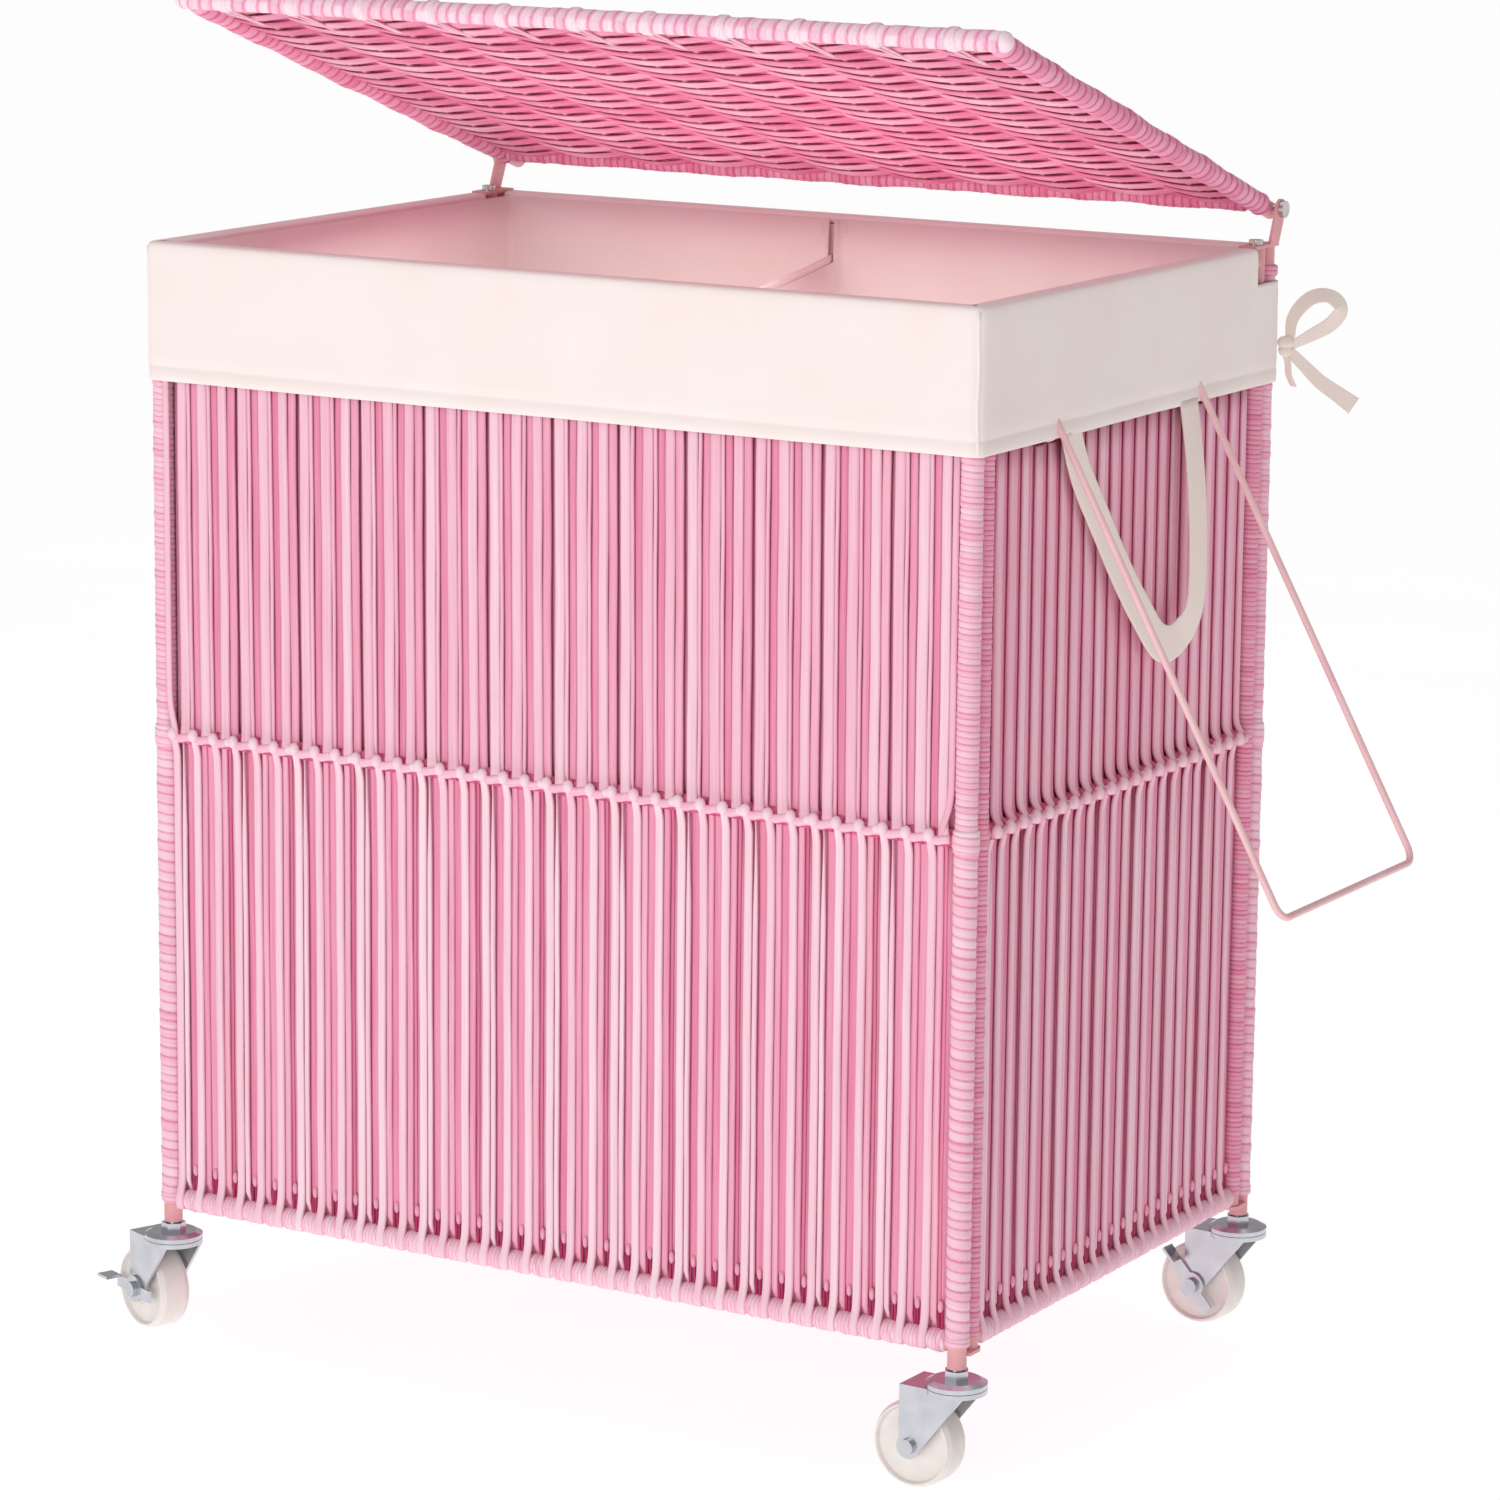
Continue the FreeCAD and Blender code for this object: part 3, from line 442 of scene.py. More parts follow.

# place in the pitch (left edge), width, depth in front of the rail line, thickness, tone; in mm. The
# tone is painted shade: deeper for the strands set further back.
# The pattern repeats every three pitches: a doubled knot, a plain one, and one beside an open gap, where
# a narrow dark strand at the gap's left edge is painted shadow.
LOWER = (
    ((0.0, 5.4, 3.2, 2.6, 0.10), (5.9, 3.2, 2.6, 2.2, 0.14), (9.2, 5.9, 0.6, 1.8, 0.5)),
    ((0.0, 5.4, 3.2, 2.6, 0.12), (5.3, 4.1, 1.6, 2.2, 0.36), (9.2, 6.2, 0.6, 1.8, 0.48)),
    ((0.0, 5.4, 3.2, 2.6, 0.12), (5.3, 4.3, 1.6, 2.2, 0.38), (9.3, 2.4, 0.0, 1.6, 0.6)),
)
UPPER = (
    ((6.3, 6.9, 3.2, 2.6, 0.20), (13.1, 2.3, 2.6, 1.8, 0.24), (15.3, 5.4, 0.9, 1.8, 0.48)),
    ((6.3, 7.3, 3.2, 2.6, 0.22), (13.6, 2.3, 2.6, 1.8, 0.28), (15.7, 5.2, 0.9, 1.8, 0.5)),
    ((6.3, 6.5, 3.2, 2.6, 0.20), (12.7, 5.8, 1.9, 2.0, 0.38)),
)
REPEAT = len(LOWER)
KNOT_S = 2.7 * MM           # middle of a knot, from the left edge of its pitch
TONE_SPREAD = 0.06
BOXY = 0.5
UNDER_RAIL = 5.4 * MM       # how far the light strands reach below the bottom rail's axis
RAIL_BEND = 9 * MM          # length over which a strand bends at a rail
FOOT_BEND = 6.5 * MM
TUCK = 7 * MM               # length of a deep strand's tapered foot
TUCK_DEPTH = 3.4 * MM
BACKING_END = 6 * MM        # the backing strands stop this far from a rail's axis
BACKING_DEPTH = 0.8 * MM


def wobble(z, seed, size):
    return size * MM * (np.sin(z * 31 + seed) + 0.6 * np.sin(z * 73 + 2 * seed))


def weave_lower(stock, face, i, rng):
    """Strands of one pitch between the bottom rail and the middle rail."""
    top = MID_RAIL + 1.0 * MM
    for order, (place, width, depth, thick, tone) in enumerate(LOWER[i % REPEAT]):
        light = order == 0
        if light:
            low = BOTTOM_RAIL - UNDER_RAIL
        else:
            low = BOTTOM_RAIL + (6.5 + 8.5 * (depth < 1) + rng.uniform(-1, 1)) * MM
        z = np.concatenate([np.linspace(low, low + 18 * MM, 6),
                            np.linspace(low + 24 * MM, top - 14 * MM, 12),
                            np.linspace(top - 10 * MM, top, 4)])
        over = np.exp(-((z - BOTTOM_RAIL) / RAIL_BEND) ** 2) * light
        near_top = np.exp(-((z - top) / RAIL_BEND) ** 2)
        tuck = np.clip(1 - (z - low) / TUCK, 0, 1) * (not light)
        rise = (3.4 if light else 0.8) * MM
        n = face.depth * depth * MM + over * 3.9 * MM + near_top * rise - tuck * TUCK_DEPTH
        sway = wobble(z, i * 1.7 + order, 0.16) * (1 - near_top)
        s = face.left_of(i) + (place + width / 2) * MM + sway
        size = width * MM * (1 - 0.35 * tuck - (0.12 if light else 0.0) * near_top)
        if order == 1 and i % REPEAT == 0:
            size = size * np.clip((top - z) / (60 * MM), 0.18, 1)
        # table tone (painted shade by depth), the side faces' painted shade and a random spread
        tone += face.shade + rng.uniform(-TONE_SPREAD, TONE_SPREAD)
        stock.ribbon(face.at(s, n, z), face.across, face.outward, size, thick * MM, tone, boxy=BOXY)


def weave_upper(stock, face, i, rng, top):
    """Strands of one pitch between the middle rail and the cuff; the light one's foot turns right."""
    low = MID_RAIL + 0.5 * MM
    lean = rng.uniform(0.4, 1.4) * MM
    for order, (place, width, depth, thick, tone) in enumerate(UPPER[i % REPEAT]):
        if place + width > face.pitch / MM and i == face.count - 1:
            continue
        light = order == 0
        z = np.concatenate([np.linspace(low, low + 15 * MM, 6), np.linspace(low + 22 * MM, top, 12)])
        foot = np.exp(-((z - low) / FOOT_BEND) ** 2)
        n = face.depth * depth * MM + foot * (3.6 if light else 1.6) * MM
        turn = foot * (2.6 if light else 1.0) * MM
        s = (face.left_of(i) + (place + width / 2) * MM + wobble(z, i * 2.3 + order, 0.2) + turn
             - lean * (z - low) / (top - low))
        size = width * MM * (1 + 0.12 * foot)
        # table tone (painted shade by depth), the side faces' painted shade and a random spread
        tone += face.shade + rng.uniform(-TONE_SPREAD, TONE_SPREAD)
        stock.ribbon(face.at(s, n, z), face.across, face.outward, size, thick * MM, tone, boxy=BOXY)


def knots(stock, face, i, rng):
    """Knot on the middle rail at the head of each light strand; every third has a second lobe."""
    lift = rng.uniform(-0.4, 0.4)
    # sideways, rise, depth, half width, half height, half depth; in mm
    lobes = [(0.0, 1.6, 8.0, 3.5, 4.3, 3.2)]
    if i % REPEAT == 0 and i:
        lobes.append((-4.3, 0.9, 7.0, 3.1, 2.9, 2.8))
    for side, rise, depth, half_w, half_h, half_d in lobes:
        s = face.left_of(i) + KNOT_S + side * MM
        centre = face.point(s, depth * MM, MID_RAIL + (rise + lift) * MM)
        axes = (face.across * half_w * MM, face.outward * half_d * MM, UP * half_h * MM)
        stock.ball(centre, axes, 0.02 + face.shade + rng.uniform(0, TONE_SPREAD), rings=7, columns=12)


def mid_band(stock, face):
    """The strand that runs along the middle rail behind the knots, dipping behind each one, and a dark
    strip under it that is painted shadow.
    """
    s = np.linspace(-face.half, face.half, face.count * 8 + 1)
    phase = (s + face.half - KNOT_S) / face.pitch * 2 * math.pi
    n = (7.0 - 0.8 * np.cos(phase)) * MM
    z = MID_RAIL - (0.4 + 0.7 * np.sin(phase)) * MM
    stock.ribbon(face.at(s, n, z), UP, face.outward, 5.6 * MM, 3.0 * MM, 0.24 + face.shade, boxy=0.8)
    # dark strip just below the band: painted shadow
    under = face.at(s, 4.6 * MM, z - 2.6 * MM)
    stock.ribbon(under, UP, face.outward, 2.4 * MM, 2.4 * MM, 0.8)


def foot_detail(stock, face, i, rng):
    """Under each deep strand: a base-panel knot, and dark strips below it down to the rail, which are
    painted shade in the gap.
    """
    left = face.left_of(i)
    # dark strips: painted shade in the gap between the base knot and the rail
    for shift in (10.2, 12.6) if i % REPEAT != 2 else (11.0, 13.4):
        z = np.linspace(BOTTOM_RAIL + 4 * MM, BOTTOM_RAIL + 19 * MM, 5)
        tie = face.at(left + (shift + rng.uniform(-0.4, 0.4)) * MM, 1.2 * MM, z)
        stock.ribbon(tie, face.across, face.outward, 1.9 * MM, 1.6 * MM, 0.98, sides=6)
    centre = face.point(left + 12.4 * MM, 1.6 * MM, BOTTOM_RAIL + 21 * MM)
    axes = (face.across * 2.0 * MM, face.outward * 1.8 * MM, UP * 4.0 * MM)
    stock.ball(centre, axes, 0.4, columns=8)


def backing(stock, face, i, top):
    """Wide strand behind one pitch that closes the gaps between the ones in front; its deeper tone is
    painted shade in the gaps.
    """
    s = face.left_of(i) + face.pitch / 2
    spans = ((BOTTOM_RAIL + BACKING_END, MID_RAIL - BACKING_END), (MID_RAIL + BACKING_END, top))
    for low, high in spans:
        line = face.at(s, -BACKING_DEPTH, np.linspace(low, high, 8))
        stock.ribbon(line, face.across, face.outward, face.pitch * 0.98, 0.9 * MM, face.backing_shade,
                     sides=6, boxy=0.5)


def strand_top(face, i):
    """Where a pitch's strands end: behind the cuff, or under the rail that carries the bail."""
    if face.name != "right":
        return CUFF_EDGE + 14 * MM
    s = face.left_of(i)
    if any(-24 * MM < s - eye < 8 * MM for eye in BAIL_EYE_Y):
        return GRIP_RAIL - 10.9 * MM
    return GRIP_RAIL - RAIL_R - 0.4 * MM


def woven_panel(face):
    stock = Stock()
    rng = np.random.default_rng(len(face.name) + face.count)
    for i in range(face.count):
        top = strand_top(face, i)
        weave_lower(stock, face, i, rng)
        weave_upper(stock, face, i, rng, top)
        knots(stock, face, i, rng)
        backing(stock, face, i, top)
        foot_detail(stock, face, i, rng)
    mid_band(stock, face)
    stock.piece(f"weave_{face.name}_strands", "frame", "panel_strand", f"weave_{face.name}")


def rail_wraps():
    """Fine wrap round the bottom rails, humped between the strands, and round the middle rails."""
    stock = Stock()
    for face in FACES:
        reach = face.half + (0.5 if face.sideways else 1.5) * MM

        def hump(t, turn, face=face, reach=reach):
            phase = (t - reach + face.half - KNOT_S) / face.pitch
            return 1.7 * MM * np.abs(np.sin(phase * math.pi)) ** 0.7 - 0.6 * MM + 0 * turn

        ends = [face.point(s, 0.0, BOTTOM_RAIL) for s in (-reach, reach)]
        stock.wound(*ends, RAIL_R + 1.0 * MM, 2.6 * MM, 0.55 * MM, 0.16, columns=16, groove=0.35 * MM,
                    swell=hump)
        ends = [face.point(s, 0.0, MID_RAIL) for s in (-reach, reach)]
        stock.wound(*ends, RAIL_R + 0.7 * MM, 6.0 * MM, 1.4 * MM, 0.7, columns=12)
    stock.piece("rail_windings", "frame", "wrap_strand", "rail_wraps")


def leg_windings(stock, x, y, head):
    """Broad bands below the middle rail, finer ones above, and a thicker band at the foot and joint."""
    foot = BOTTOM_RAIL + 0.5 * MM
    # low end, high end, radius, pitch, step, tone, columns, groove
    windings = (
        (foot, MID_RAIL - 2 * MM, LEG_WOUND_R, 6.2 * MM, 0.7 * MM, 0.2, 24, 0.8 * MM),
        (MID_RAIL + 1 * MM, head, 7.0 * MM, 3.7 * MM, 0.55 * MM, 0.22, 20, 0.4 * MM),
        (foot - 3 * MM, foot + 4 * MM, 7.9 * MM, 3.0 * MM, 0.5 * MM, 0.2, 20, 0.5 * MM),
        (MID_RAIL - 8 * MM, MID_RAIL + 6 * MM, 8.2 * MM, 4.6 * MM, 0.6 * MM, 0.16, 24, 0.5 * MM),
    )
    for low, high, radius, pitch, step, tone, columns, groove in windings:
        stock.wound(vec(x, y, low), vec(x, y, high), radius, pitch, step, tone, columns=columns,
                    groove=groove)


def upright_wraps():
    """Strand wound round the legs and side posts, with a collar at the head of each back leg."""
    stock = Stock()
    for x in (-LEG_X, LEG_X):
        for y_sign in SIGNS:
            y = y_sign * LEG_Y
            head = BACK_HEAD if y_sign > 0 else TOP_RAIL + RAIL_R
            leg_windings(stock, x, y, head)
            if y_sign > 0:
                stock.wound(vec(x, y, head - 6 * MM), vec(x, y, head + 1 * MM), 8.4 * MM, 3.4 * MM,
                            0.5 * MM, 0.4, columns=24)
            post = y_sign * POST_Y
            post_head = GRIP_RAIL - RAIL_R if x > 0 else TOP_RAIL - RAIL_R
            post_foot = vec(x, post, BOTTOM_RAIL + 0.5 * MM)
            stock.wound(post_foot, vec(x, post, post_head), 6.7 * MM, 3.1 * MM, 0.5 * MM, 0.42,
                        columns=16, groove=0.6 * MM)
    stock.piece("upright_windings", "frame", "wrap_strand", "upright_wraps")


def edge_strands():
    """The odd strand beside each front and back leg, bent into the middle-rail joint."""
    stock = Stock()
    z = np.concatenate([np.linspace(MID_RAIL, MID_RAIL + 30 * MM, 8),
                        np.linspace(MID_RAIL + 45 * MM, CUFF_EDGE + 12 * MM, 8)])
    bend = np.exp(-((z - MID_RAIL) / (16 * MM)) ** 2)
    for face in FACES:
        if face.sideways:
            continue
        s = -face.half - 1.2 * MM + 5.6 * MM * bend
        left = face.at(s, 6.2 * MM + 1.5 * MM * bend, z)
        right = face.at(-s - 1.5 * MM, 4.6 * MM + 2 * MM * bend, z)
        stock.ribbon(left, face.across, face.outward, 4.6 * MM, 2.4 * MM, 0.2)
        stock.ribbon(right, face.across, face.outward, 4.4 * MM, 2.4 * MM, 0.3)
    stock.piece("edge_strands", "frame", "panel_strand")


# ---- base ----

BASE_STRANDS = 68
BASE_EDGE_R = 4.0 * MM


def base_panel():
    """Woven base: strands run front to back over the rods, with a wrapped edge all round."""
    low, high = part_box("base_weave")
    rod_low, rod_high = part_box("base_frame")
    z = (low[2] + high[2]) / 2
    y = np.linspace(low[1] + 0.5 * MM, high[1] - 0.5 * MM, 16)
    stock = Stock()
    for i in range(BASE_STRANDS):
        x = low[0] + (i + 0.5) * (high[0] - low[0]) / BASE_STRANDS
        line = np.stack([x + 0 * y, y, z + 0.5 * MM * (-1) ** i * np.sin(y * 160)], -1)
        stock.ribbon(line, vec(1, 0, 0), UP, 7.0 * MM, 1.5 * MM, 0.55 + 0.2 * (i % 2), boxy=0.7)
    stock.piece("base_strands", "frame", "panel_strand", "base_weave")

    edge = Stock()
    x = rod_high[0] - BASE_EDGE_R
    y = rod_high[1] - BASE_EDGE_R
    outer_x = x + BASE_EDGE_R
    inner_y = y - BASE_EDGE_R
    for sign in SIGNS:
        for start, end in ((vec(-outer_x, sign * y, z), vec(outer_x, sign * y, z)),
                           (vec(sign * x, -inner_y, z), vec(sign * x, inner_y, z))):
            edge.wound(start, end, BASE_EDGE_R + 0.3 * MM, 5.0 * MM, 0.9 * MM, 0.5, columns=12)
    edge.piece("base_edge", "frame", "panel_strand", "base_frame")


# ---- liner ----

def loop_points(half_x, half_y, corner, steps):
    """Rounded rectangle, counter-clockwise, as points with outward normals and the distance round."""
    points = []
    normals = []
    mid_x = half_x - corner
    mid_y = half_y - corner
    corners = ((mid_x, mid_y, 0), (-mid_x, mid_y, 90), (-mid_x, -mid_y, 180), (mid_x, -mid_y, 270))
    arc = 6
    for index, (cx, cy, start) in enumerate(corners):
        for k in range(arc + 1):
            angle = math.radians(start + 90 * k / arc)
            normals.append((math.cos(angle), math.sin(angle)))
            points.append((cx + corner * math.cos(angle), cy + corner * math.sin(angle)))
        nx, ny, turn = corners[(index + 1) % 4]
        angle = math.radians(turn)
        goal = (nx + corner * math.cos(angle), ny + corner * math.sin(angle))
        last = points[-1]
        for k in range(1, steps):
            share = k / steps
            points.append(tuple(a + (b - a) * share for a, b in zip(last, goal)))
            normals.append(normals[-1])
    points = np.array(points)
    step = np.linalg.norm(np.roll(points, -1, axis=0) - points, axis=1)
    return points, np.array(normals), np.concatenate([[0.0], np.cumsum(step)[:-1]])


def shell(stock, points, normals, along, profile, thick, tone=0.0, waves=None, sink=0.0):
    """Closed cloth wall round a loop: profile rows are (offset outwards, height, normal out, normal up);
    thick is its cloth, and sink lowers the top edge from point to point."""
    rows = []
    heights = [row[1] for row in profile]
    foot = min(heights)
    height = max(heights) - foot
    for offset, z, normal_out, normal_up in profile:
        shift = offset + (waves(along, z, points) if waves is not None else 0.0)
        ring = np.zeros((len(points), 3))
        ring[:, :2] = points + normals * np.reshape(shift, (-1, 1))
        ring[:, 2] = z - sink * (z - foot) / height
        rows.append((ring, normal_out, normal_up))
    outer = [ring for ring, _, _ in rows]
    inner = []
    for ring, normal_out, normal_up in rows[::-1]:
        back = ring.copy()
        back[:, :2] -= normals * normal_out * thick
        back[:, 2] -= normal_up * thick
        inner.append(back)
    grid = np.array(outer + inner + outer[:1])
    stock.grid(grid, tone, np.zeros(grid.shape), around=True, caps=False)


def cloth_piece(stock, name, node):
    obj = stock.piece(name, "frame", "liner_cloth", node)
    merge = obj.modifiers.new("weld", "WELD")
    merge.merge_threshold = 0.02 * MM
    return obj


def cuff_waves(along, z, points):
    """Soft wrinkles in the skirt, fading towards the fold over the rail."""
    drop = np.clip((CUFF_HIGH[2] - z) / (CUFF_HIGH[2] - CUFF_EDGE), 0, 1)
    soft = (0.5 * np.sin(along * 23) + 0.35 * np.sin(along * 51 + z * 40)
            + 0.25 * np.sin(along * 97 - z * 85))
    from_side = np.abs(np.abs(points[:, 0]) - CUFF_HIGH[0])
    from_front = np.abs(np.abs(points[:, 1]) - CUFF_HIGH[1])
    return 0.9 * MM * soft * drop * np.exp(-np.minimum(from_side, from_front))


# The cuff's section, as offset outwards and height, in mm: the fold from its top down, and the hem
# from its own height down
CUFF_FOLD = ((-15.5, -5.0), (-15.4, -1.6), (-14.0, -0.5), (-11.0, 0.0), (-6.0, 0.0), (-2.6, -0.2),
             (-0.9, -1.0), (-0.2, -2.6))
CUFF_HEM = ((-0.5, 9.0), (0.15, 7.8), (0.3, 3.0), (0.2, 0.6), (-0.2, 0.0))
CUFF_FOLD_R = 11            # mm
CUFF_CORNER_R = 8.2 * MM
CUFF_THICK = 1.5 * MM


def cuff():
    """Turned-over top: over the rails, then a skirt with a hem, open at the back corners."""
    points, normals, along = loop_points(CUFF_HIGH[0] - 0.4 * MM, CUFF_HIGH[1] - 0.4 * MM,
                                         CUFF_CORNER_R, 40)
    top = CUFF_HIGH[2]
    profile = []
    for offset, drop in CUFF_FOLD:
        rounding = np.clip((offset + CUFF_FOLD_R) / CUFF_FOLD_R, -1, 1)
        profile.append((offset * MM, top + drop * MM, max(0.0, rounding), 1 - abs(rounding) * 0.9))
    for z in np.linspace(top - 6 * MM, CUFF_EDGE + 10.2 * MM, 12):
        profile.append((0.0, z, 1.0, 0.0))
    for offset, rise in CUFF_HEM:
        profile.append((offset * MM, CUFF_EDGE + rise * MM, 1.0, 0.0))
    stock = Stock()
    shell(stock, points, normals, along, profile, CUFF_THICK, waves=cuff_waves)
    obj = cloth_piece(stock, "cuff_cloth", "liner_cuff")
    cut_notches(obj)


def cut_notches(obj):
    """Open the cuff round the hinge brackets at both back corners."""
    cutter = Stock()
    for sign in SIGNS:
        x0, x1 = sorted((sign * NOTCH_LOW[0], sign * NOTCH_HIGH[0]))
        y0, y1 = NOTCH_LOW[1], NOTCH_HIGH[1]
        ring = [(x0, y0), (x1, y0), (x1, y1), (x0, y1)]
        grid = np.array([[(x, y, z) for x, y in ring] for z in (NOTCH_LOW[2], NOTCH_HIGH[2])])
        cutter.grid(grid, 0.0, np.zeros(grid.shape))
    tool = cutter.piece("notch_tool", "frame", "liner_cloth")
    cut = obj.modifiers.new("notch", "BOOLEAN")
    cut.object = tool
    cut.solver = "EXACT"
    settle(obj)
    bpy.data.objects.remove(tool)


def settle(obj):
    """Apply every modifier, so that the mesh is final."""
    shape = bpy.data.meshes.new_from_object(obj.evaluated_get(bpy.context.evaluated_depsgraph_get()))
    obj.modifiers.clear()
    obj.data = shape


BAG_CORNER_R = 7 * MM
BAG_THICK = 1.2 * MM
BAG_FOOT = ((-0.8, 8.0), (-2.6, 3.4), (-6.0, 0.9), (-12.0, 0.1))    # inset and rise, in mm
BAG_SINK = 27 * MM          # how far a bag's wall beside the divider stays below the rim
BAG_SAG = 19 * MM           # and how much lower it hangs in the middle
FLOOR_THICK = 0.9 * MM


def bag_waves(seed):
    """Folds that pull a bag's walls inwards, fading at its rim and its foot."""
    def waves(along, z, points):
        fall = np.clip((TOP_RAIL - z) / 0.08, 0, 1) * np.clip((z - 0.11) / 0.05, 0, 1)
        folds = (0.5 * np.sin(along * 19 + seed) + 0.4 * np.sin(along * 47 + z * 12 + seed)
                 + 0.5 * np.sin(z * 9 + along * 5))
        return -1.6 * MM * fall * (1 + folds)
    return waves


def bag_floor(stock, middle, half_x, half_y, floor, seed):
    """A bag's floor: two slightly wavy sheets and the strip round their edge."""
    x, y = np.meshgrid(np.linspace(-half_x, half_x, 20), np.linspace(-half_y, half_y, 24), indexing="ij")
    wave = 0.5 * MM * np.sin(x * 40 + seed) * np.sin(y * 31)
    sheet = np.stack([x + middle, y, floor + 1.0 * MM + wave], -1)
    for grid in (sheet, (sheet - UP * FLOOR_THICK)[::-1]):
        stock.grid(grid, 0.0, np.zeros(grid.shape), around=False)
    ring = np.concatenate([sheet[0, :-1], sheet[:-1, -1], sheet[-1, :0:-1], sheet[:0:-1, 0]])
    rim = np.array([ring - UP * FLOOR_THICK, ring])
    stock.grid(rim, 0.0, np.zeros(rim.shape), around=True, caps=False)


def bag(name, node, low_x, high_x, seed):
    """One compartment: a lofted sack with rounded corners, sagging in between them, and its floor."""
    low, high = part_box(node)
    half_x = (high_x - low_x) / 2
    middle = (high_x + low_x) / 2
    half_y = high[1] - 0.3 * MM
    floor = low[2]
    points, normals, along = loop_points(half_x, half_y, BAG_CORNER_R, 24)
    profile = [(0.0, z, 1.0, 0.0) for z in np.linspace(high[2] - 0.6 * MM, floor + 16 * MM, 22)]
    profile += [(inset * MM, floor + rise * MM, 0.6, -0.8) for inset, rise in BAG_FOOT]
    stock = Stock()
    inward = -1 if middle > DIVIDER_MIDDLE else 1
    beside = normals[:, 0] * inward > 0.99
    sink = beside * (BAG_SINK + BAG_SAG * np.cos(points[:, 1] / half_y * math.pi / 2))
    shell(stock, points, normals, along, profile, BAG_THICK, waves=bag_waves(seed), sink=sink)
    stock.points = [block + vec(middle, 0, 0) for block in stock.points]
    bag_floor(stock, middle, half_x - 8 * MM, half_y - 8 * MM, floor, seed)
    obj = cloth_piece(stock, name, node)
    settle(obj)


HEM_DEPTH = 12.1 * MM
HEM_ROWS = np.array([13, 12.2, 11, 8, 4, 1.2, 0.0]) * MM    # depths below the divider's top edge
DIVIDER_SINK = 1 * MM
DIVIDER_SAG = 19 * MM


def divider():
    """Middle wall: one hemmed sheet, a little slack, with a stitched band along its top edge."""
    low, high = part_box("liner_divider")
    middle = (low[0] + high[0]) / 2
    y = np.linspace(low[1] + 1.5 * MM, high[1] - 1.5 * MM, 48)
    z = np.concatenate([np.linspace(low[2] + 2 * MM, high[2] - 16 * MM, 26), high[2] - HEM_ROWS])
    yy, zz = np.meshgrid(y, z, indexing="ij")
    slack = np.sin((yy - low[1]) / (high[1] - low[1]) * math.pi)
    hem = np.where(zz > high[2] - HEM_DEPTH, 0.5 * MM, 0.0)
    half = np.where(zz > high[2] - 0.1 * MM, 0.3 * MM, 0.6 * MM + hem)
    zz = zz - (DIVIDER_SINK + DIVIDER_SAG * slack) * (zz - low[2]) / (high[2] - low[2])
    bulge = slack * (1.6 * MM * np.sin(zz * 7 + 1) + 0.8 * MM * np.sin(yy * 38 + zz * 11))
    stock = Stock()
    right = np.stack([middle + bulge + half, yy, zz], -1)
    left = np.stack([middle + bulge - half, yy, zz], -1)
    grid = np.concatenate([right, left[:, ::-1]], axis=1)
    stock.grid(grid, 0.0, np.zeros(grid.shape), around=True, caps=True)
    seam_z = np.linspace(low[2] + 3 * MM, CUFF_HIGH[2] - 6 * MM, 12)
    for end in SIGNS:
        line = vec(middle, end * (high[1] + 0.6 * MM), 0) + UP * seam_z[:, None]
        stock.ribbon(line, vec(1, 0, 0), vec(0, -end, 0), 20 * MM, 0.8 * MM, 0.0, sides=8, boxy=0.3)
    obj = cloth_piece(stock, "divider_cloth", "liner_divider")
    settle(obj)


def corner_seams():
    """Piped seam down each corner of the cuff, stopping under the hinge brackets at the back."""
    stock = Stock()
    z = np.linspace(CUFF_EDGE + 1 * MM, CUFF_HIGH[2] - 3 * MM, 14)
    for x_sign in SIGNS:
        for y_sign in SIGNS:
            upper = z if y_sign < 0 else z[z < SEAM_STOP]
            out = vec(x_sign, y_sign, 0) / math.sqrt(2)
            side = vec(-y_sign, x_sign, 0) / math.sqrt(2)
            wave = 0.35 * MM * np.sin(upper * 140)
            centre = vec(x_sign * (CUFF_HIGH[0] - 3.1 * MM), y_sign * (CUFF_HIGH[1] - 3.1 * MM), 0)
            line = centre + UP * upper[:, None] + side * wave[:, None]
            stock.ribbon(line, side, out, 2.2 * MM, 2.2 * MM, 0.0, boxy=0.8)
    stock.piece("cuff_seams", "frame", "liner_cloth")


# ---- strap and bow ----

def tape(stock, line, width_dir, width, thick):
    """Flat tape along a line; its width direction is given at each point."""
    line = np.asarray(line, float)
    along = np.gradient(line, axis=0)
    along /= np.linalg.norm(along, axis=1)[:, None]
    width_dir = np.broadcast_to(width_dir, line.shape)
    across = width_dir - along * np.sum(width_dir * along, axis=1)[:, None]
    across /= np.linalg.norm(across, axis=1)[:, None]
    outward = np.cross(along, across)
    stock.ribbon(line, across, outward, width, thick, 0.0, sides=12, boxy=0.35)


def smooth_line(points, count):
    """Catmull-Rom curve through a few points."""
    points = np.asarray(points, float)
    padded = np.concatenate([2 * points[:1] - points[1:2], points, 2 * points[-1:] - points[-2:-1]])
    result = []
    for i in range(len(points) - 1):
        p0, p1, p2, p3 = padded[i:i + 4]
        for t in np.linspace(0, 1, count, endpoint=False):
            result.append(0.5 * ((2 * p1) + (p2 - p0) * t + (2 * p0 - 5 * p1 + 4 * p2 - p3) * t ** 2
                                 + (3 * p1 - p0 - 3 * p2 + p3) * t ** 3))
    result.append(points[-1])
    return np.array(result)


# Points down, round and up the strap, in mm: outwards from its middle, along the side and up
STRAP_PATH = ((1, -75, 608), (2, -47, 572), (4, -25, 542), (6, 0, 513), (6, 27, 490), (6, 52, 489),
              (9, 69, 506), (9, 72, 545), (6, 72, 592))


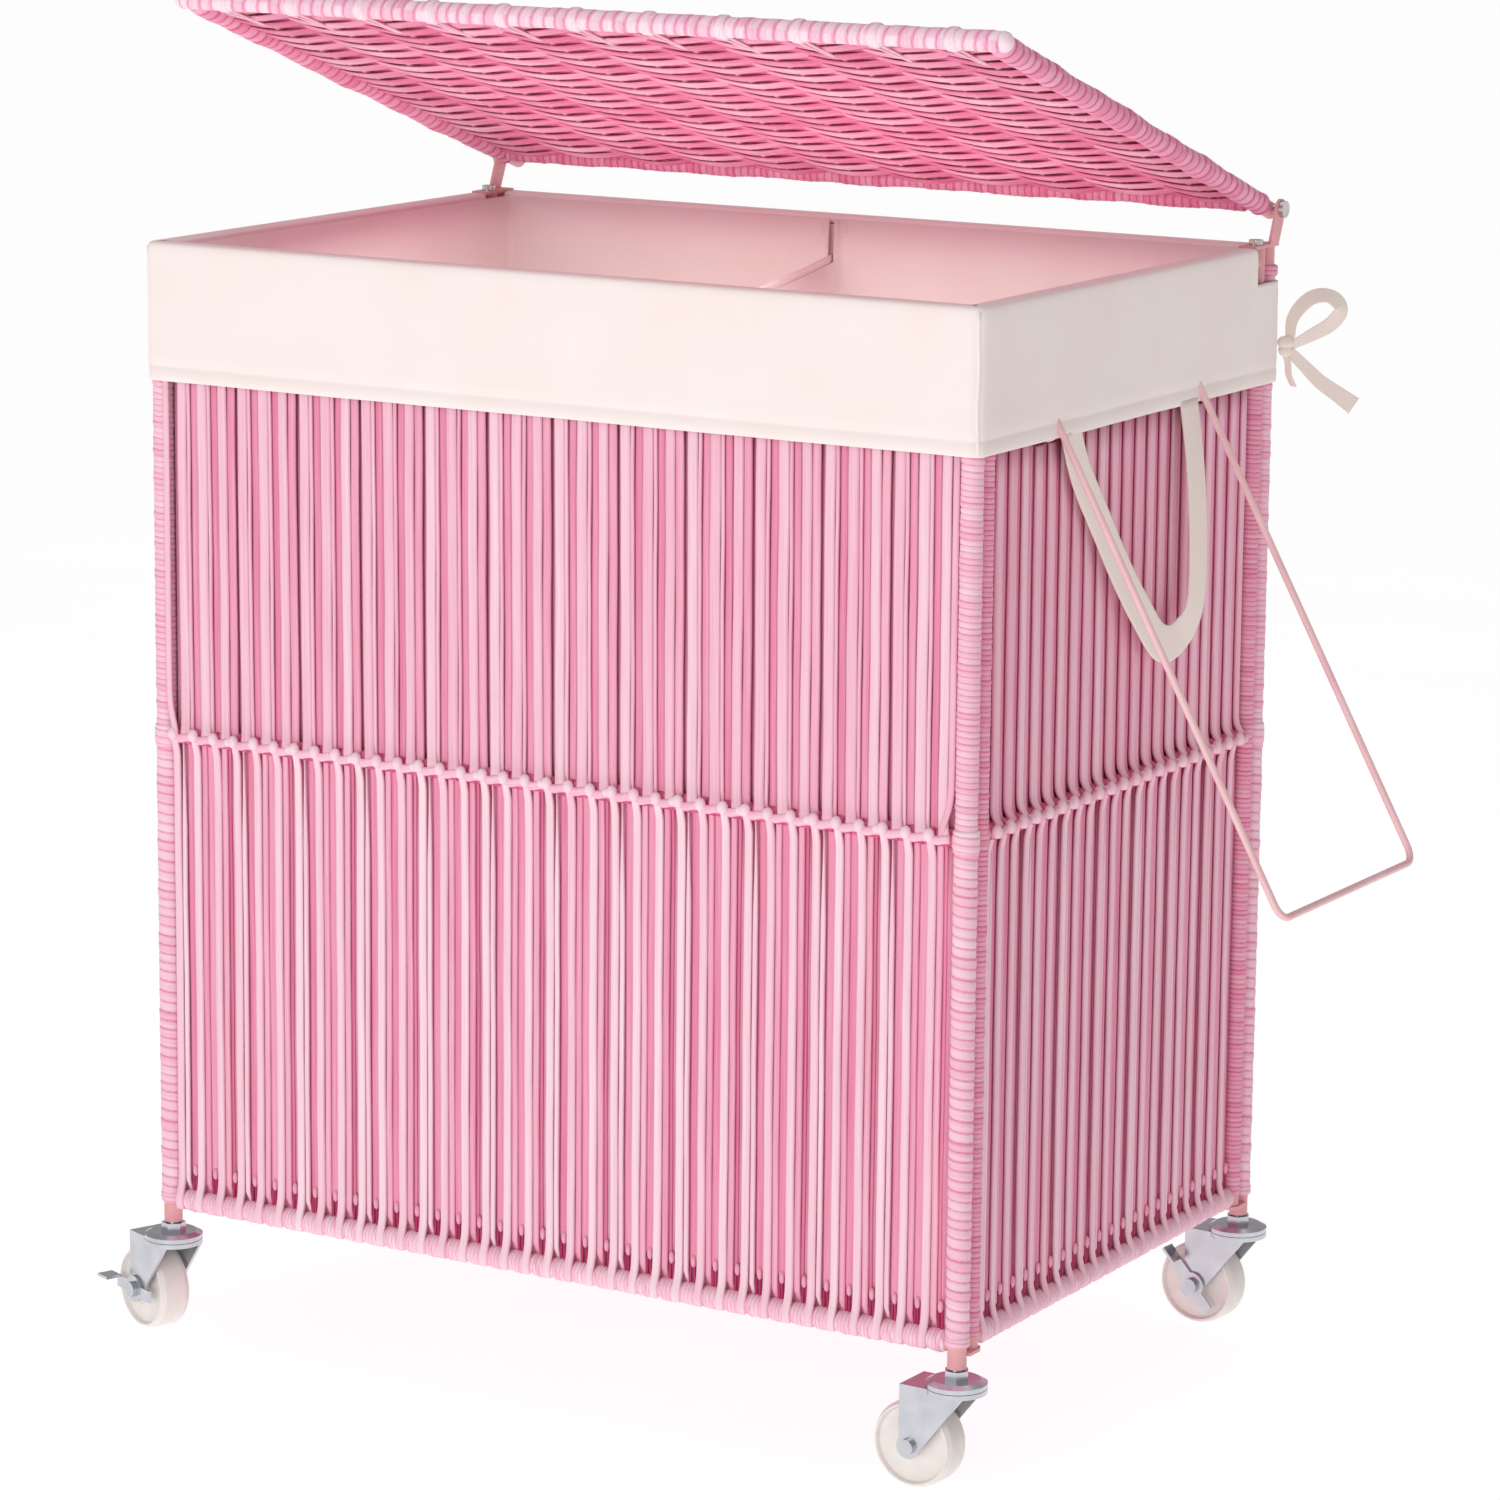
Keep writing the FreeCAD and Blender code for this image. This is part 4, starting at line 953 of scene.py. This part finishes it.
def strap():
    """Doubled tape sewn under the cuff's hem: two legs that meet in a soft fold at the bottom."""
    low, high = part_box("strap_handle")
    middle = (low[0] + high[0]) / 2
    head = CUFF_EDGE + 3 * MM
    between = [(middle + x * MM, y * MM, z * MM) for x, y, z in STRAP_PATH]
    line = smooth_line([(middle, -88 * MM, head), *between, (middle, 72 * MM, head)], 8)
    line[:, 0] = np.maximum(line[:, 0], low[0] + 0.7 * MM)
    stock = Stock()
    tape(stock, line, np.cross(np.gradient(line, axis=0), vec(1, 0, 0)), 24 * MM, 1.5 * MM)
    obj = stock.piece("strap_tape", "frame", "strap_cloth", "strap_handle")


RIBBON_WIDTH = 12 * MM
RIBBON_THICK = 0.9 * MM
KNOT = vec(303, 206, 655) * MM
# Points along the ribbon's three parts, in mm
LOOP = ((305, 208, 658), (305, 212, 673), (313, 219, 685), (323, 226, 687), (330, 231, 679),
        (325, 227, 669), (314, 217, 661), (305, 208, 655))
TAIL = ((304, 207, 653), (312, 214, 643), (321, 221, 632), (331, 229, 623), (339, 235, 616))
FOLD = ((302, 207, 651), (304, 208, 644), (304, 210, 636), (306, 213, 629))


def bow():
    """Ribbon tie: a soft knot, one open loop, one slanted tail and a short folded end."""
    stock = Stock()
    loop = smooth_line(np.array(LOOP) * MM, 7)
    tail = smooth_line(np.array(TAIL) * MM, 7)
    ahead = vec(0.5, -0.84, 0.2)
    swell = 0.5 + 0.5 * np.sin(np.linspace(0, math.pi, len(loop)))
    loop_dir = np.cross(np.gradient(loop, axis=0), ahead) / MM + 1.2 * ahead
    tape(stock, loop, loop_dir, RIBBON_WIDTH * swell, RIBBON_THICK)
    taper = np.linspace(0.55, 1.0, len(tail))
    tape(stock, tail, np.cross(np.gradient(tail, axis=0), ahead), RIBBON_WIDTH * taper, RIBBON_THICK)
    tape(stock, smooth_line(np.array(FOLD) * MM, 6), vec(0.8, -0.6, 0), 7.5 * MM, 1.6 * MM)
    for half, rise in ((5.6 * MM, 2.6 * MM), (4.8 * MM, -2.4 * MM)):
        axes = (vec(0.7, 0.7, 0) * half, vec(-0.7, 0.7, 0) * half, UP * 4.4 * MM)
        stock.ball(KNOT + UP * rise, axes, 0.0, rings=8, columns=14)
    obj = stock.piece("ribbon_tie", "frame", "strap_cloth", "tie_bow")


# ---- lid ----

def tilt(points):
    """Turn points from the level lid to its rest angle about the hinge line."""
    points = np.asarray(points, float)
    y = points[..., 1] - HINGE[1]
    z = points[..., 2] - HINGE[2]
    c = math.cos(LID_ANGLE)
    s = math.sin(LID_ANGLE)
    return np.stack([points[..., 0], HINGE[1] + c * y + s * z, HINGE[2] - s * y + c * z], -1)


LID_OUT = vec(0, math.sin(LID_ANGLE), math.cos(LID_ANGLE))
LID_ALONG = vec(0, -math.cos(LID_ANGLE), math.sin(LID_ANGLE))
LID_FRONT_Y = HINGE[1] - LID_DEPTH
LID_BACK_Y = HINGE[1] - LID_BACK_GAP
WEFTS = 43


def lid_row(y, half_x):
    """Line from side to side of the lid at a depth."""
    return tilt([(-half_x, y, HINGE[2]), (0.0, y, HINGE[2]), (half_x, y, HINGE[2])])


def lid_wefts():
    """Flat strands woven side to side over and under the stakes, darkened between the stakes as painted
    shade, and thin darker ones that close the gaps, whose deeper tone is painted shade.
    """
    stock = Stock()
    rng = np.random.default_rng(5)
    first = LID_FRONT_Y + 12 * MM
    last = LID_BACK_Y - 8 * MM
    reach = LID_X - LID_RAIL_R
    x = np.linspace(-reach, reach, 12 * (STAKE_COUNT + 1) + 1)
    phase = x / STAKE_PITCH * math.pi
    for i in range(WEFTS):
        y = first + (last - first) * i / (WEFTS - 1)
        sign = (-1) ** i
        lift = sign * np.cos(phase) * 3.0 * MM
        slide = sign * 0.35 * (1.7 * MM * np.cos(2 * phase) + 0.8 * MM * np.sin(x * 37 + i * 2.1))
        line = np.stack([x, y + slide + rng.uniform(-0.8, 0.8) * MM, HINGE[2] + lift], -1)
        # random tone, plus painted shade that darkens each weft between the stakes
        tone = 0.3 + rng.uniform(-0.12, 0.12) + 0.16 * np.abs(np.sin(phase))
        stock.ribbon(tilt(line), LID_ALONG, LID_OUT, 10.4 * MM, 1.4 * MM, tone[:, None], boxy=0.75)
    # thin strands in the gaps, their deeper tone painted shade
    for i in range(WEFTS - 1):
        y = first + (last - first) * (i + 0.5) / (WEFTS - 1)
        stock.ribbon(lid_row(y, reach), LID_ALONG, LID_OUT, 9.4 * MM, 0.6 * MM, 0.6, boxy=0.5)
    stock.piece("lid_wefts", "lid", "lid_strand", "lid_weave")


def lid_edges():
    """Wraps round the lid's rails: smooth along the front, thick with strand ends at the sides."""
    stock = Stock()
    front = lid_row(LID_FRONT_Y, LID_X + LID_RAIL_R)
    stock.wound(front[0], front[-1], 6.4 * MM, 8.5 * MM, 1.1 * MM, 0.1, columns=24, groove=0.12 * MM)

    def ridge(t, turn):
        return 0.7 * MM * np.sin(t * 83) * np.sin(t * 31 + 2) + 0.4 * MM + 0 * turn

    for sign in SIGNS:
        side = tilt([(sign * LID_X, y, HINGE[2]) for y in (LID_FRONT_Y + 6 * MM, HINGE[1] - 9 * MM)])
        stock.wound(*side, 6.9 * MM, 8.6 * MM, 0.8 * MM, 0.34, columns=24, groove=0.9 * MM, swell=ridge)
    back = lid_row(LID_BACK_Y, LID_X - 6 * MM)
    stock.wound(back[0], back[-1], 5.9 * MM, 5.4 * MM, 0.9 * MM, 0.4, columns=16, groove=0.7 * MM,
                swell=ridge)
    stock.piece("lid_windings", "lid", "lid_strand", "lid_rail_wraps")


def lid_collars():
    """Band round the front rail at each stake, with its two ends drawn back along the stake."""
    stock = Stock()
    y = np.linspace(LID_FRONT_Y + 4 * MM, LID_FRONT_Y + 46 * MM, 12)
    t = (y - y[0]) / (y[-1] - y[0])
    for x in STAKE_X:
        band = tilt([(x + shift * 3.6 * MM, LID_FRONT_Y, HINGE[2]) for shift in (-1, 1)])
        stock.wound(*band, 7.5 * MM, 20 * MM, 0.6 * MM, 0.06, columns=28, groove=0.0)
        for side in SIGNS:
            line = np.stack([x + side * (3.2 - 2.4 * t) * MM, y, HINGE[2] - (5.6 - 2.6 * t) * MM], -1)
            stock.ribbon(tilt(line), vec(1, 0, 0), LID_OUT, 3.2 * MM * (1 - 0.5 * t), 1.4 * MM, 0.16)
    stock.piece("lid_collar_bands", "lid", "lid_strand", "lid_collars")


# ---- pieces that show as the CAD has them ----

def carried_over():
    """Give every CAD node its finish, and each shown node of paint, metal or nylon a small rounded edge.
    """
    slots = {part["node"]: part["material_slot"] for part in frame["record"]["subparts"]}
    for name, obj in frame["nodes"].items():
        slot = slots[name]
        if not obj.material_slots:
            obj.data.materials.append(FINISHES[slot])
        for place in obj.material_slots:
            place.material = FINISHES[slot]
        if not obj.hide_render and slot in ("zinc", "frame_paint", "screw_steel", "nylon"):
            soft = obj.modifiers.new("edge", "BEVEL")
            soft.width = 0.35 * MM
            soft.segments = 2
            soft.limit_method = "ANGLE"
            soft.angle_limit = math.radians(40)


# ---- camera, lights and floor ----

def camera():
    """The photo's camera: a fitted direction, distance and lens, aimed near the middle of the body."""
    azimuth = math.radians(30.53)
    elevation = math.radians(11.6)
    roll = math.radians(0.55)
    distance = 3.569
    lens = 132.1
    aim = Vector((0, 0, 0.368))
    off_right = 0.0245
    off_up = 0.0232
    back = Vector((math.sin(azimuth) * math.cos(elevation), -math.cos(azimuth) * math.cos(elevation),
                   math.sin(elevation)))
    level = Vector((math.cos(azimuth), math.sin(azimuth), 0))
    upward = back.cross(level)
    right = level * math.cos(roll) + upward * math.sin(roll)
    up = upward * math.cos(roll) - level * math.sin(roll)
    data = bpy.data.cameras.new("camera")
    data.sensor_width = 36
    data.lens = lens
    obj = bpy.data.objects.new("camera", data)
    bpy.context.scene.collection.objects.link(obj)
    place = aim + back * distance + right * off_right + up * off_up
    rotation = Matrix((right, up, back)).transposed().to_4x4()
    obj.matrix_world = Matrix.Translation(place) @ rotation
    bpy.context.scene.camera = obj


# name, place, goal, size, watts
LAMPS = (
    ("key", (-0.5, -3.2, 1.35), (0, 0, 0.55), (1.4, 1.4), 15),
    ("low fill", (0.3, -3.0, 0.25), (0, 0, 0.8), (1.4, 0.4), 15),
    ("inside", (0, -0.02, 0.714), (0, 0.0, 0.3), (0.44, 0.2), 0.55),
    ("under lid", (0, 0.0, 0.722), (0, 0.0, 1.0), (0.5, 0.34), 0.3),
    ("top", (0.0, 0.2, 2.6), (0, 0, 0.4), (2.2, 2.2), 10),
)
SKY = 0.38
FLOOR_HALF = 40
FLOOR_Z = -0.0005
FLOOR_GLOW = 0.88


def lamp(name, place, goal, size, power):
    data = bpy.data.lights.new(name, "AREA")
    data.shape = "RECTANGLE"
    data.size = size[0]
    data.size_y = size[1]
    data.energy = power
    obj = bpy.data.objects.new(name, data)
    bpy.context.scene.collection.objects.link(obj)
    obj.location = place
    obj.visible_camera = False
    obj.rotation_euler = (Vector(goal) - Vector(place)).to_track_quat("-Z", "Y").to_euler()


def studio():
    scene = bpy.context.scene
    scene.view_settings.view_transform = "Standard"
    world = bpy.data.worlds.new("studio")
    world.use_nodes = True
    sky = world.node_tree.nodes["Background"]
    sky.inputs["Color"].default_value = (1.0, 0.94, 0.94, 1)
    sky.inputs["Strength"].default_value = SKY
    scene.world = world
    for values in LAMPS:
        lamp(*values)

    square = ((-1, -1), (1, -1), (1, 1), (-1, 1))
    corners = [(x * FLOOR_HALF, y * FLOOR_HALF, FLOOR_Z) for x, y in square]
    mesh = bpy.data.meshes.new("floor")
    mesh.from_pydata(corners, [], [(0, 1, 2, 3)])
    floor = bpy.data.objects.new("floor", mesh)
    scene.collection.objects.link(floor)
    finish = Finish("floor", 0.9, specular=0.1)
    where = finish.place()
    greys = [(0.3, linear(138, 137, 137)), (0.7, linear(142, 142, 142))]
    finish.colour(finish.ramp(finish.noise(where, 3.0), greys))
    finish.shader.inputs["Emission Color"].default_value = (1, 1, 1, 1)
    finish.shader.inputs["Emission Strength"].default_value = FLOOR_GLOW
    mesh.materials.append(finish.material)


camera()
studio()
for panel_face in FACES:
    woven_panel(panel_face)
rail_wraps()
upright_wraps()
edge_strands()
base_panel()
cuff()
corner_seams()
DIVIDER_LOW, DIVIDER_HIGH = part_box("liner_divider")
DIVIDER_MIDDLE = (DIVIDER_LOW[0] + DIVIDER_HIGH[0]) / 2
BAG_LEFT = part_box("liner_bag_left")[0][0]
BAG_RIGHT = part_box("liner_bag_right")[1][0]
bag("left_bag", "liner_bag_left", BAG_LEFT + 0.3 * MM, DIVIDER_LOW[0] - 0.2 * MM, 0.4)
bag("right_bag", "liner_bag_right", DIVIDER_HIGH[0] + 0.2 * MM, BAG_RIGHT - 0.3 * MM, 2.1)
divider()
strap()
bow()
lid_wefts()
lid_edges()
lid_collars()
carried_over()
